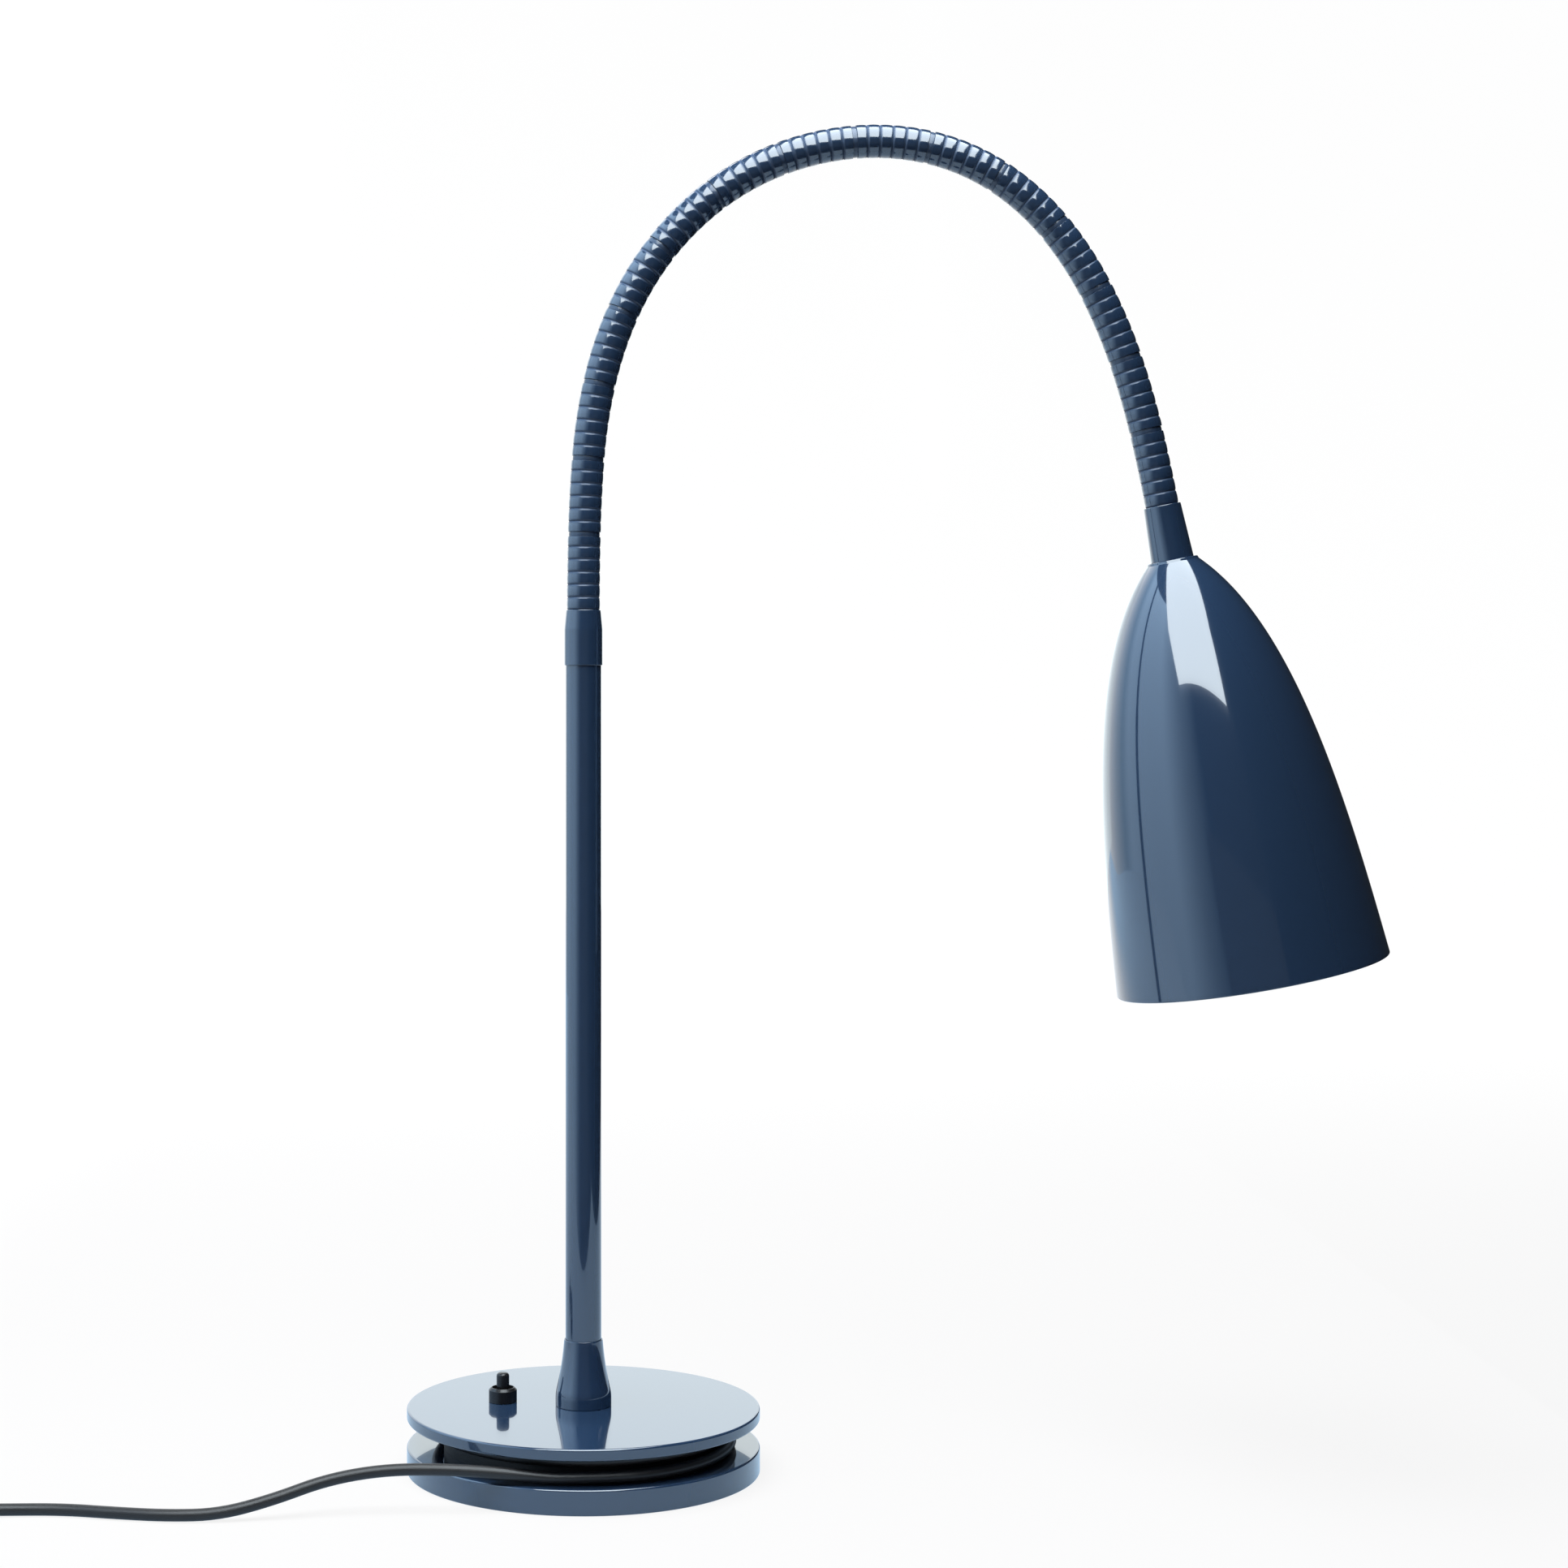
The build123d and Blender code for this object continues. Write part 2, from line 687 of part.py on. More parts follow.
with BuildPart() as shade:
    with BuildSketch(head_side):
        with BuildLine():
            Polyline((shade_hole_radius, shade_start), (shade_flat_radius, shade_start), outer_curve[0])
            Bezier(*outer_curve)
            Line(outer_curve[-1], inner_curve[-1])
            Bezier(*reversed(inner_curve))
            Polyline(
                inner_curve[0],
                (shade_flat_radius - shade_wall, shade_inside),
                (shade_hole_radius, shade_inside),
                (shade_hole_radius, shade_start),
            )
        make_face()
    revolve(axis=head_axis)
shade.part.label = "shade"
export_step(shade.part, "parts/shade.step")

# Head nipple and round nut, which clamp the shade against the ferrule
with BuildPart() as head_nipple:
    with BuildSketch(head_plane.offset(nipple_start)):
        Circle(nipple_radius)
        Circle(bore_radius, mode=Mode.SUBTRACT)
    extrude(amount=head_nipple_seat + head_nipple_reach)
head_nipple.part.label = "head_nipple"
export_step(head_nipple.part, "parts/head_nipple.step")

with BuildPart() as head_nut:
    with BuildSketch(head_plane.offset(shade_inside)):
        Circle(head_nut_diameter / 2)
        Circle(nipple_radius + fit_gap, mode=Mode.SUBTRACT)
    extrude(amount=head_nut_thickness)
head_nut.part.label = "head_nut"
export_step(head_nut.part, "parts/head_nut.step")

# Lampholder cap: threaded neck on the nipple, widening to the sleeve
holder_start = shade_inside + head_nut_thickness
holder_radius = holder_diameter / 2
holder_inner_radius = holder_radius - holder_wall
neck_end = holder_start + holder_neck_length
shoulder_end = neck_end + holder_shoulder_length
cap_end = holder_start + holder_cap_length

with BuildPart() as holder_cap:
    with BuildSketch(head_side):
        Polygon(
            (nipple_radius + fit_gap, holder_start),
            (holder_neck_diameter / 2, holder_start),
            (holder_neck_diameter / 2, neck_end),
            (holder_radius, shoulder_end),
            (holder_radius, cap_end),
            (holder_inner_radius, cap_end),
            (holder_inner_radius, shoulder_end + holder_wall),
            (holder_neck_diameter / 2, neck_end + holder_wall),
            (nipple_radius + fit_gap, neck_end + holder_wall),
            align=None,
        )
    revolve(axis=head_axis)
holder_cap.part.label = "holder_cap"
export_step(holder_cap.part, "parts/holder_cap.step")

# Lampholder sleeve: screwed to the cap, round the bulb's cap
sleeve_end = cap_end + holder_sleeve_length

with BuildPart() as holder_sleeve:
    with BuildSketch(head_plane.offset(cap_end)):
        Circle(holder_radius)
        Circle(holder_inner_radius, mode=Mode.SUBTRACT)
    extrude(amount=holder_sleeve_length)
holder_sleeve.part.label = "holder_sleeve"
export_step(holder_sleeve.part, "parts/holder_sleeve.step")

# Lampholder core: contact carrier, half in the cap and half in the sleeve
core_start = cap_end - holder_core_lap
core_end = core_start + holder_core_length

with BuildPart() as holder_core:
    with BuildSketch(head_plane.offset(core_start)):
        Circle(holder_inner_radius - fit_gap)
    extrude(amount=holder_core_length)
holder_core.part.label = "holder_core"
export_step(holder_core.part, "parts/holder_core.step")

# Bulb: screw cap with its contact, and an opal globe
bulb_cap_start = core_end + bulb_contact_length
bulb_cap_end = bulb_cap_start + bulb_cap_length

with BuildPart() as bulb_cap:
    with BuildSketch(head_plane.offset(core_end)):
        Circle(bulb_contact_diameter / 2)
    extrude(amount=bulb_contact_length)
    with BuildSketch(head_plane.offset(bulb_cap_start)):
        Circle(bulb_cap_diameter / 2)
    extrude(amount=bulb_cap_length)
bulb_cap.part.label = "bulb_cap"
export_step(bulb_cap.part, "parts/bulb_cap.step")

bulb_radius = bulb_diameter / 2
bulb_neck_end = bulb_cap_end + bulb_neck_length
bulb_neck_radius = bulb_neck_diameter / 2
globe_centre = bulb_neck_end + math.sqrt(bulb_radius**2 - bulb_neck_radius**2)
globe_end = globe_centre + bulb_radius
hollow_radius = bulb_radius - bulb_wall

with BuildPart() as bulb_globe:
    with BuildSketch(head_side):
        with BuildLine():
            Line((0, bulb_cap_end), (bulb_cap_diameter / 2, bulb_cap_end))
            Line((bulb_cap_diameter / 2, bulb_cap_end), (bulb_neck_radius, bulb_neck_end))
            ThreePointArc(
                (bulb_neck_radius, bulb_neck_end),
                (bulb_radius, globe_centre),
                (0, globe_end),
            )
            Line((0, globe_end), (0, bulb_cap_end))
        make_face()
    revolve(axis=head_axis)
    with Locations(head_plane.offset(globe_centre).origin):
        Sphere(hollow_radius, mode=Mode.SUBTRACT)
bulb_globe.part.label = "bulb_globe"
export_step(bulb_globe.part, "parts/bulb_globe.step")

# Lamp cable: from the terminal block up the stem and the neck to the lampholder
cable_end = head_plane.offset(core_start).origin

with BuildPart() as lamp_cable:
    with BuildLine() as cable_line:
        Line((0, 0, terminal_top), (0, 0, neck_start))
        for link in range(link_count):
            ThreePointArc(
                along_link(link, 0),
                along_link(link, link_length / 2),
                along_link(link, link_length),
            )
        Line(head_plane.origin, cable_end)
    with BuildSketch(height(terminal_top)):
        Circle(lamp_cable_diameter / 2)
    sweep(path=cable_line.wire())
lamp_cable.part.label = "lamp_cable"
export_step(lamp_cable.part, "parts/lamp_cable.step")


def self_gap(wire, tube_diameter):
    """Least gap of a tube to itself, on points a quarter diameter apart.

    Points nearer along the line than three diameters are the same stretch of tube.
    """
    count = math.ceil(4 * wire.length / tube_diameter)
    spots = [tuple(wire.position_at(index / count)) for index in range(count + 1)]
    least = min(
        math.dist(spot, other) for index, spot in enumerate(spots) for other in spots[index + 12 :]
    )
    return round(least - tube_diameter, 3)


def on_drum(angle, z, slack=0):
    """Point on the line that the cord follows round the drum, or that far outside it."""
    turn = math.radians(angle)
    reach = winding_radius + slack
    return Vector(reach * math.cos(turn), reach * math.sin(turn), z)


def drum_dir(angle):
    """Direction of the cord round the drum, clockwise seen from above."""
    turn = math.radians(angle)
    return Vector(math.sin(turn), -math.cos(turn), 0)


def drum_arc(first_angle, last_angle, z):
    """Level arc round the drum."""
    ThreePointArc(
        on_drum(first_angle, z), on_drum((first_angle + last_angle) / 2, z), on_drum(last_angle, z)
    )


# Winding: an upper turn from the entry block, a drop, then a lower turn that ends loose at the front
winding_end = on_drum(winding_end_angle, low_turn_z, winding_loose_reach)
lead_start = winding_end + drum_dir(winding_end_angle) * cord_diameter
upper_middle = (winding_start_angle + winding_drop_start_angle) / 2

with BuildPart() as cord_winding:
    with BuildLine() as winding_line:
        Line(entry_face, winding_start)
        drum_arc(winding_start_angle, upper_middle, high_turn_z)
        drum_arc(upper_middle, winding_drop_start_angle, high_turn_z)
        biarc(
            on_drum(winding_drop_start_angle, high_turn_z),
            drum_dir(winding_drop_start_angle),
            on_drum(winding_drop_end_angle, low_turn_z),
            drum_dir(winding_drop_end_angle),
        )
        drum_arc(winding_drop_end_angle, winding_loose_angle, low_turn_z)
        biarc(
            on_drum(winding_loose_angle, low_turn_z),
            drum_dir(winding_loose_angle),
            winding_end,
            drum_dir(winding_end_angle),
        )
        Line(winding_end, lead_start)
    with BuildSketch(Plane(origin=entry_face, z_dir=start_along)):
        Circle(cord_radius)
    sweep(path=winding_line.wire())
cord_winding.part.label = "cord_winding"
export_step(cord_winding.part, "parts/cord_winding.step")
print("winding length", round(winding_line.wire().length, 2))
print("winding gap to itself", self_gap(winding_line.wire(), cord_diameter))
print("volume over section", round(cord_winding.part.volume / (math.pi * cord_radius**2), 2))

# Coil: spirals in on the table, climbs in its inner half turn and spirals out on top
coil_pitch = cord_diameter + cord_turn_gap
coil_low_z = coil_lift + cord_radius
coil_high_z = coil_low_z + coil_pitch
coil_entry = Vector(coil_centre_x + cord_diameter, coil_front_y, coil_low_z)


def half_turn(front_y, side, radius, z):
    """Level half circle from y on the coil's middle line, to the left or the right."""
    centre_y = front_y - side * radius
    ThreePointArc(
        (coil_centre_x, front_y, z),
        (coil_centre_x + side * radius, centre_y, z),
        (coil_centre_x, front_y - side * 2 * radius, z),
    )
    return front_y - side * 2 * radius


with BuildPart() as cord_coil:
    with BuildLine() as coil_line:
        at_y = coil_front_y
        Line(coil_entry, (coil_centre_x, at_y, coil_low_z))
        radius = coil_outer_radius
        side = -1
        for _ in range(coil_half_turns):
            at_y = half_turn(at_y, side, radius, coil_low_z)
            radius -= coil_pitch / 2
            side = -side
        climb_low = Vector(coil_centre_x, at_y, coil_low_z)
        climb_middle = Vector(
            coil_centre_x + side * radius,
            at_y - side * radius,
            (coil_low_z + coil_high_z) / 2,
        )
        climb_high = Vector(coil_centre_x, at_y - side * 2 * radius, coil_high_z)
        climb_slope = 2 * coil_pitch / (math.pi * radius)
        climb_dir = Vector(0, -side, climb_slope).normalized()
        biarc(climb_low, Vector(side, 0, 0), climb_middle, climb_dir)
        biarc(climb_middle, climb_dir, climb_high, Vector(-side, 0, 0))
        at_y = climb_high.Y
        side = -side
        for _ in range(coil_half_turns - 1):
            radius += coil_pitch / 2
            at_y = half_turn(at_y, side, radius, coil_high_z)
            side = -side
        radius += coil_pitch / 2
        quarter_end = Vector(coil_centre_x + side * radius, at_y - side * radius, coil_high_z)
        TangentArc((coil_centre_x, at_y, coil_high_z), quarter_end, tangent=(side, 0, 0))
        coil_exit = quarter_end + Vector(0, coil_tail_length, 0)
        Line(quarter_end, coil_exit)
    with BuildSketch(Plane(origin=coil_entry, z_dir=(-1, 0, 0))):
        Circle(cord_radius)
    sweep(path=coil_line.wire())
cord_coil.part.label = "cord_coil"
export_step(cord_coil.part, "parts/cord_coil.step")
print("coil length", round(coil_line.wire().length, 2))
print("coil gap to itself", self_gap(coil_line.wire(), cord_diameter))
print("volume over section", round(cord_coil.part.volume / (math.pi * cord_radius**2), 2))

# Lead: the free length, straight runs joined by arcs as wide as the runs allow
lead_route = [lead_start, lead_start + drum_dir(winding_end_angle) * lead_first_run]
lead_route += [Vector(*point) for point in lead_points]
lead_route += [coil_entry + Vector(lead_last_run, 0, 0), coil_entry]
lead_radii = []
for before, here, after in zip(lead_route, lead_route[1:], lead_route[2:]):
    arriving = here - before
    leaving = after - here
    half_angle = math.radians(arriving.get_angle(leaving)) / 2
    lead_radii.append(lead_arc_share * min(arriving.length, leaving.length) / math.tan(half_angle))
print("lead radii", [round(value, 1) for value in lead_radii])

with BuildPart() as cord_lead:
    with BuildLine() as lead_line:
        FilletPolyline(*lead_route, radius=lead_radii)
    with BuildSketch(Plane(origin=lead_start, z_dir=(lead_route[1] - lead_start).normalized())):
        Circle(cord_radius)
    sweep(path=lead_line.wire())
cord_lead.part.label = "cord_lead"
export_step(cord_lead.part, "parts/cord_lead.step")
print("lead length", round(lead_line.wire().length, 2))
print("volume over section", round(cord_lead.part.volume / (math.pi * cord_radius**2), 2))

# Tie: flat band round the coil's left side
coil_inner_radius = coil_outer_radius - coil_half_turns * coil_pitch / 2
tie_inner_x = coil_outer_radius - coil_inner_radius + cord_diameter + 2 * tie_gap
tie_bottom = tie_floor_gap + tie_thickness
tie_top = coil_high_z + cord_radius + tie_gap
tie_x = coil_centre_x - (coil_outer_radius + coil_inner_radius) / 2
tie_y = coil_front_y + coil_outer_radius
tie_z = (tie_bottom + tie_top) / 2

with BuildPart() as cord_tie:
    with BuildSketch(Plane(origin=(tie_x, tie_y, tie_z), x_dir=(1, 0, 0), z_dir=(0, -1, 0))):
        RectangleRounded(
            tie_inner_x + 2 * tie_thickness, tie_top - tie_bottom + 2 * tie_thickness, cord_radius
        )
        RectangleRounded(
            tie_inner_x, tie_top - tie_bottom, cord_radius - tie_thickness, mode=Mode.SUBTRACT
        )
    extrude(amount=tie_width / 2, both=True)
cord_tie.part.label = "cord_tie"
export_step(cord_tie.part, "parts/cord_tie.step")

# Plug: a tapering strain relief that widens into the body, with two pins
plug_plane = Plane(origin=coil_exit, x_dir=(1, 0, 0), z_dir=(0, 1, 0))
body_start = plug_relief_length
body_end = plug_relief_length + plug_body_length

with BuildPart() as plug_body:
    with BuildSketch(plug_plane):
        Circle(plug_relief_tip_diameter / 2)
    with BuildSketch(plug_plane.offset(body_start)):
        Circle(plug_relief_root_diameter / 2)
    loft()
    with BuildSketch(plug_plane.offset(body_start)):
        RectangleRounded(plug_back_width, plug_back_thickness, plug_corner_round)
    with BuildSketch(plug_plane.offset(body_end)):
        RectangleRounded(plug_width, plug_thickness, plug_corner_round)
    loft()
    with BuildSketch(plug_plane.offset(body_end)):
        with Locations((-plug_pin_spacing / 2, 0), (plug_pin_spacing / 2, 0)):
            Circle(plug_pin_diameter / 2 + fit_gap)
    extrude(amount=-plug_pin_hold, mode=Mode.SUBTRACT)
plug_body.part.label = "plug_body"
export_step(plug_body.part, "parts/plug_body.step")

with BuildPart() as plug_pins:
    with BuildSketch(plug_plane.offset(body_end - plug_pin_hold)):
        with Locations((-plug_pin_spacing / 2, 0), (plug_pin_spacing / 2, 0)):
            Circle(plug_pin_diameter / 2)
    extrude(amount=plug_pin_hold + plug_pin_length)
    fillet(plug_pins.edges().group_by(Axis.Y)[-1], plug_pin_diameter / 4)
plug_pins.part.label = "plug_pins"
export_step(plug_pins.part, "parts/plug_pins.step")
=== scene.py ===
"""A table lamp with a flexible neck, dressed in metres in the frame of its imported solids.

The file follows the lamp as it is put together: the studio, the base with its cord, the switch,
the stem, the neck and the head.
"""

import math

import bpy
import numpy as np
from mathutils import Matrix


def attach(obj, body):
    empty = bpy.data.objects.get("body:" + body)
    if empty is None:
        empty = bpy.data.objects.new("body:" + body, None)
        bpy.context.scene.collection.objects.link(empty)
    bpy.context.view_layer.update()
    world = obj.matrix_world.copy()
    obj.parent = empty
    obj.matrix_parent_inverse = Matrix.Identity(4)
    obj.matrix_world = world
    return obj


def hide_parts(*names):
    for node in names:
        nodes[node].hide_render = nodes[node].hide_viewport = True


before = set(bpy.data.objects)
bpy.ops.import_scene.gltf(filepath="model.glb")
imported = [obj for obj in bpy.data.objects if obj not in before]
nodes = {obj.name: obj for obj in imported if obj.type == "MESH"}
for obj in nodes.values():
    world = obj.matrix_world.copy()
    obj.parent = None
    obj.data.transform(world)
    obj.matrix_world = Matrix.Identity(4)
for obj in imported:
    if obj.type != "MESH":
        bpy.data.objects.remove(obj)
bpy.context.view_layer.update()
scene = bpy.context.scene
scene.view_settings.view_transform = "Standard"

# Camera: level, straight in front of the stem and above its middle. The frame is shifted down and towards
# the shade, so that upright lines stay upright and the base is seen from straight ahead.
camera = bpy.data.objects.new("camera", bpy.data.cameras.new("camera"))
camera.data.sensor_width = 36.0
camera.data.lens = 67.5
camera.data.shift_x = 0.1279
camera.data.shift_y = -0.0554
camera.location = (0.0, -1.068, 0.28)
camera.rotation_euler = (math.radians(90), 0, 0)
scene.collection.objects.link(camera)
scene.camera = camera


# Studio floor and backdrop: one pale sweep on a table that ends in front of the lamp and rises behind it
# in a wide curve. It is matt, and the camera sees most of it as even white, a little brighter at the back
# and on the left. The gloss of the lamp sees it blue, but for the part behind the lamp.
def grid_faces(rows, columns, rows_close, columns_close):
    """Quads between neighbouring points of a grid: (i, j), (i, j+1), (i+1, j+1), (i+1, j)."""
    i = np.arange(rows if rows_close else rows - 1)[:, None]
    j = np.arange(columns if columns_close else columns - 1)[None, :]
    here, after = i * columns, (i + 1) % rows * columns
    beside = (j + 1) % columns
    return np.stack([here + j, here + beside, after + beside, after + j], -1).reshape(-1, 4)


def lay_mesh(name, points, faces, normals=None):
    """Smooth mesh object at the origin, from points, rows of point numbers and a normal for each point."""
    mesh = bpy.data.meshes.new(name)
    mesh.from_pydata(np.asarray(points, float).tolist(), [], faces)
    mesh.polygons.foreach_set("use_smooth", np.ones(len(mesh.polygons), bool))
    if normals is not None:
        mesh.normals_split_custom_set_from_vertices(np.asarray(normals, float).tolist())
    piece = bpy.data.objects.new(name, mesh)
    scene.collection.objects.link(piece)
    return piece


def sweep_points(front, back, rise, top, half_width):
    """Floor from front to back, a quarter circle of radius rise, then a wall up to top, all along x."""
    curve_rows, columns = 24, 9
    turn = np.linspace(0, np.pi / 2, curve_rows)
    along = np.concatenate([[front], back + rise * np.sin(turn), [back + rise]])
    up = np.concatenate([[0.0], rise * (1 - np.cos(turn)), [top]])
    across = np.linspace(-half_width, half_width, columns)
    x, y = np.meshgrid(across, along)
    z = np.broadcast_to(up[:, None], x.shape)
    return np.stack([x, y, z], -1).reshape(-1, 3), len(along), columns


def bare_material(name):
    """New material with nothing but its output node."""
    material = bpy.data.materials.new(name)
    material.use_nodes = True
    material.node_tree.nodes.remove(material.node_tree.nodes["Principled BSDF"])
    return material


def add_node(tree, kind, values=None, **settings):
    """New shader node in a tree, with its settings, and the values of its sockets by name or number."""
    node = tree.nodes.new(f"ShaderNode{kind}")
    for setting, value in settings.items():
        setattr(node, setting, value)
    for socket, value in (values or {}).items():
        node.inputs[socket].default_value = value
    return node


def ease_node(tree, low, high, low_value=0.0, high_value=1.0):
    """Node that eases from low_value to high_value while its input goes from low to high."""
    ends = {"From Min": low, "From Max": high, "To Min": low_value, "To Max": high_value}
    return add_node(tree, "MapRange", ends, interpolation_type="SMOOTHSTEP")


def wire(tree, *links):
    """Joins sockets in a tree. A link is a node, its output, the node that it feeds and that one's input."""
    for source, output, target, entry in links:
        tree.links.new(source.outputs[output], target.inputs[entry])


sweep_grid, sweep_rows, sweep_columns = sweep_points(front=-0.38, back=1.3, rise=0.9, top=1.3, half_width=4.2)
sweep = lay_mesh("sweep", sweep_grid, grid_faces(sweep_rows, sweep_columns, False, False).tolist())
sweep_paper = bare_material("sweep_paper")
paper_tree = sweep_paper.node_tree
paper_tints = {"A": (1, 1, 1, 1), "B": (0.48, 0.70, 0.94, 1)}
paper_matt = add_node(paper_tree, "BsdfDiffuse", {"Color": (0.42, 0.42, 0.43, 1)})
paper_white = add_node(paper_tree, "Emission")
paper_tint = add_node(paper_tree, "Mix", paper_tints, data_type="RGBA")
paper_seen = add_node(paper_tree, "MixShader")
paper_ray = add_node(paper_tree, "LightPath")
paper_glossy = add_node(paper_tree, "Math", operation="MAXIMUM")
paper_clear = add_node(paper_tree, "Math", operation="MAXIMUM")
paper_share = add_node(paper_tree, "Math", {1: 0.86}, operation="MULTIPLY")
paper_place = add_node(paper_tree, "TexCoord")
paper_split = add_node(paper_tree, "SeparateXYZ")
paper_level = ease_node(paper_tree, low=0.1, high=1.4, low_value=1.0, high_value=1.14)
paper_left = ease_node(paper_tree, low=-0.25, high=-0.8, low_value=1.0, high_value=1.3)
paper_glow = add_node(paper_tree, "Math", operation="MULTIPLY")
paper_far = ease_node(paper_tree, low=0.1, high=0.9)
paper_behind = ease_node(paper_tree, low=-0.6, high=-0.15, high_value=0.75)
paper_pale = add_node(paper_tree, "Math", operation="MULTIPLY")
paper_near = add_node(paper_tree, "Math", {0: 1.0}, operation="SUBTRACT")
paper_blue = add_node(paper_tree, "Math", operation="MULTIPLY")
wire(
    paper_tree,
    (paper_ray, "Is Camera Ray", paper_glossy, 0),
    (paper_ray, "Is Glossy Ray", paper_glossy, 1),
    (paper_glossy, 0, paper_clear, 0),
    (paper_ray, "Is Transmission Ray", paper_clear, 1),
    (paper_clear, 0, paper_share, 0),
    (paper_share, 0, paper_seen, "Fac"),
    (paper_place, "Object", paper_split, 0),
    (paper_split, "Y", paper_level, "Value"),
    (paper_split, "X", paper_left, "Value"),
    (paper_level, "Result", paper_glow, 0),
    (paper_left, "Result", paper_glow, 1),
    (paper_glow, 0, paper_white, "Strength"),
    (paper_split, "Y", paper_far, "Value"),
    (paper_split, "X", paper_behind, "Value"),
    (paper_far, "Result", paper_pale, 0),
    (paper_behind, "Result", paper_pale, 1),
    (paper_pale, 0, paper_near, 1),
    (paper_ray, "Is Glossy Ray", paper_blue, 0),
    (paper_near, 0, paper_blue, 1),
    (paper_blue, 0, paper_tint, "Factor"),
    (paper_tint, "Result", paper_white, "Color"),
    (paper_matt, 0, paper_seen, 1),
    (paper_white, 0, paper_seen, 2),
    (paper_seen, 0, paper_tree.nodes["Material Output"], "Surface"),
)
sweep.data.materials.append(sweep_paper)

# Room: a soft even fill from all sides. Beyond the sweep the camera sees white, and the gloss of the
# lamp sees a dark room.
room = bpy.data.worlds.new("room")
room.use_nodes = True
scene.world = room
room_tree = room.node_tree
room_fill = room_tree.nodes["Background"]
room_fill.inputs["Color"].default_value = (0.22, 0.23, 0.25, 1)
room_dim = add_node(room_tree, "Background", {"Color": (0.03, 0.034, 0.04, 1)})
room_white = add_node(room_tree, "Background", {"Color": (1, 1, 1, 1)})
room_ray = add_node(room_tree, "LightPath")
room_gloss = add_node(room_tree, "MixShader")
room_seen = add_node(room_tree, "MixShader")
wire(
    room_tree,
    (room_ray, "Is Glossy Ray", room_gloss, "Fac"),
    (room_fill, 0, room_gloss, 1),
    (room_dim, 0, room_gloss, 2),
    (room_ray, "Is Camera Ray", room_seen, "Fac"),
    (room_gloss, 0, room_seen, 1),
    (room_white, 0, room_seen, 2),
    (room_seen, 0, room_tree.nodes["World Output"], "Surface"),
)


# Lights: a wide soft box above the lamp towards the camera, and a weaker one on the left. They light the
# matt colours alone, and the panels below stand for them in the gloss.
def soft_box(name, place, aim, width, length, radiance):
    """Area lamp at a place, turned to an aim. Its power gives its face an even radiance: power is
    pi * width * length * radiance."""
    lamp = bpy.data.lights.new(name, "AREA")
    lamp.shape = "RECTANGLE"
    lamp.size, lamp.size_y = width, length
    lamp.energy = math.pi * width * length * radiance
    box = bpy.data.objects.new(name, lamp)
    away = np.array(aim, float) - np.array(place, float)
    box.location = place
    box.rotation_euler = (0, math.acos(-away[2] / np.linalg.norm(away)), math.atan2(away[1], away[0]))
    box.visible_camera = False
    box.visible_glossy = False
    scene.collection.objects.link(box)


soft_box(
    "top_box", place=(-0.3, -0.3, 1.5), aim=(0.02, -0.15, 0.2), width=1.3, length=1.3, radiance=11.5
)
soft_box(
    "left_box", place=(-1.25, -0.3, 0.7), aim=(0.1, 0.0, 0.3), width=1.2, length=1.4, radiance=1.2
)


# Panels that the gloss mirrors: the white face of the top box, a pale panel behind the base, a black card
# on the right, a dim one round the camera, and a blue-white wall that wraps the left side. A black flag on
# the right keeps the matt colours dark on that side.
def in_gloss_only(face):
    """Hides a panel from every ray but a glossy one."""
    face.visible_camera = face.visible_diffuse = face.visible_shadow = False
    face.visible_transmission = face.visible_volume_scatter = False


def panel(name, corners, colour, strength):
    """Flat panel with an even glow, that is seen in the gloss alone and not by way of a second mirror."""
    face = lay_mesh(name, corners, [list(range(len(corners)))])
    glow = bare_material(name)
    tree = glow.node_tree
    light = add_node(tree, "Emission", {"Color": (*colour, 1)})
    ray = add_node(tree, "LightPath")
    first_mirror = add_node(tree, "Math", {1: 1.5}, operation="LESS_THAN")
    level = add_node(tree, "Math", {1: strength}, operation="MULTIPLY")
    wire(
        tree,
        (ray, "Glossy Depth", first_mirror, 0),
        (first_mirror, 0, level, 0),
        (level, 0, light, "Strength"),
        (light, 0, tree.nodes["Material Output"], "Surface"),
    )
    face.data.materials.append(glow)
    in_gloss_only(face)
    return face


top_panel_z = 1.0
top_corners = (
    (-0.76, -1.2),
    (0.55, -1.32),
    (0.46, -0.6),
    (0.46, 0.16),
    (0.0, 0.16),
    (-0.12, -0.02),
    (-0.49, -0.54),
)
panel("top_panel", [(x, y, top_panel_z) for x, y in top_corners], colour=(0.84, 0.94, 1.0), strength=6.5)

back_panel_y = 1.1
back_corners = ((-0.5, 0.12), (0.5, 0.12), (0.5, 0.85), (-0.5, 0.85))
panel("back_panel", [(x, back_panel_y, z) for x, z in back_corners], colour=(0.87, 0.96, 1.0), strength=1.32)

right_card_x, right_flag_x = 0.5, 0.38
right_corners = ((-0.9, 0.0), (2.1, 0.0), (2.1, 1.6), (-0.9, 1.6))
right_blue = (0.7, 0.8, 1.0)
panel("right_card", [(right_card_x, y, z) for y, z in right_corners], colour=right_blue, strength=0.02)

front_card_y = -1.6
front_corners = ((-1.2, -0.2), (1.2, -0.2), (1.2, 0.42), (-1.2, 0.42))
panel("front_card", [(x, front_card_y, z) for x, z in front_corners], colour=(0.8, 0.9, 1.0), strength=0.08)

flag_corners = [(right_flag_x, y, z) for y, z in right_corners]
right_flag = panel("right_flag", flag_corners, colour=right_blue, strength=0.0)
right_flag.visible_diffuse = True
right_flag.visible_glossy = False

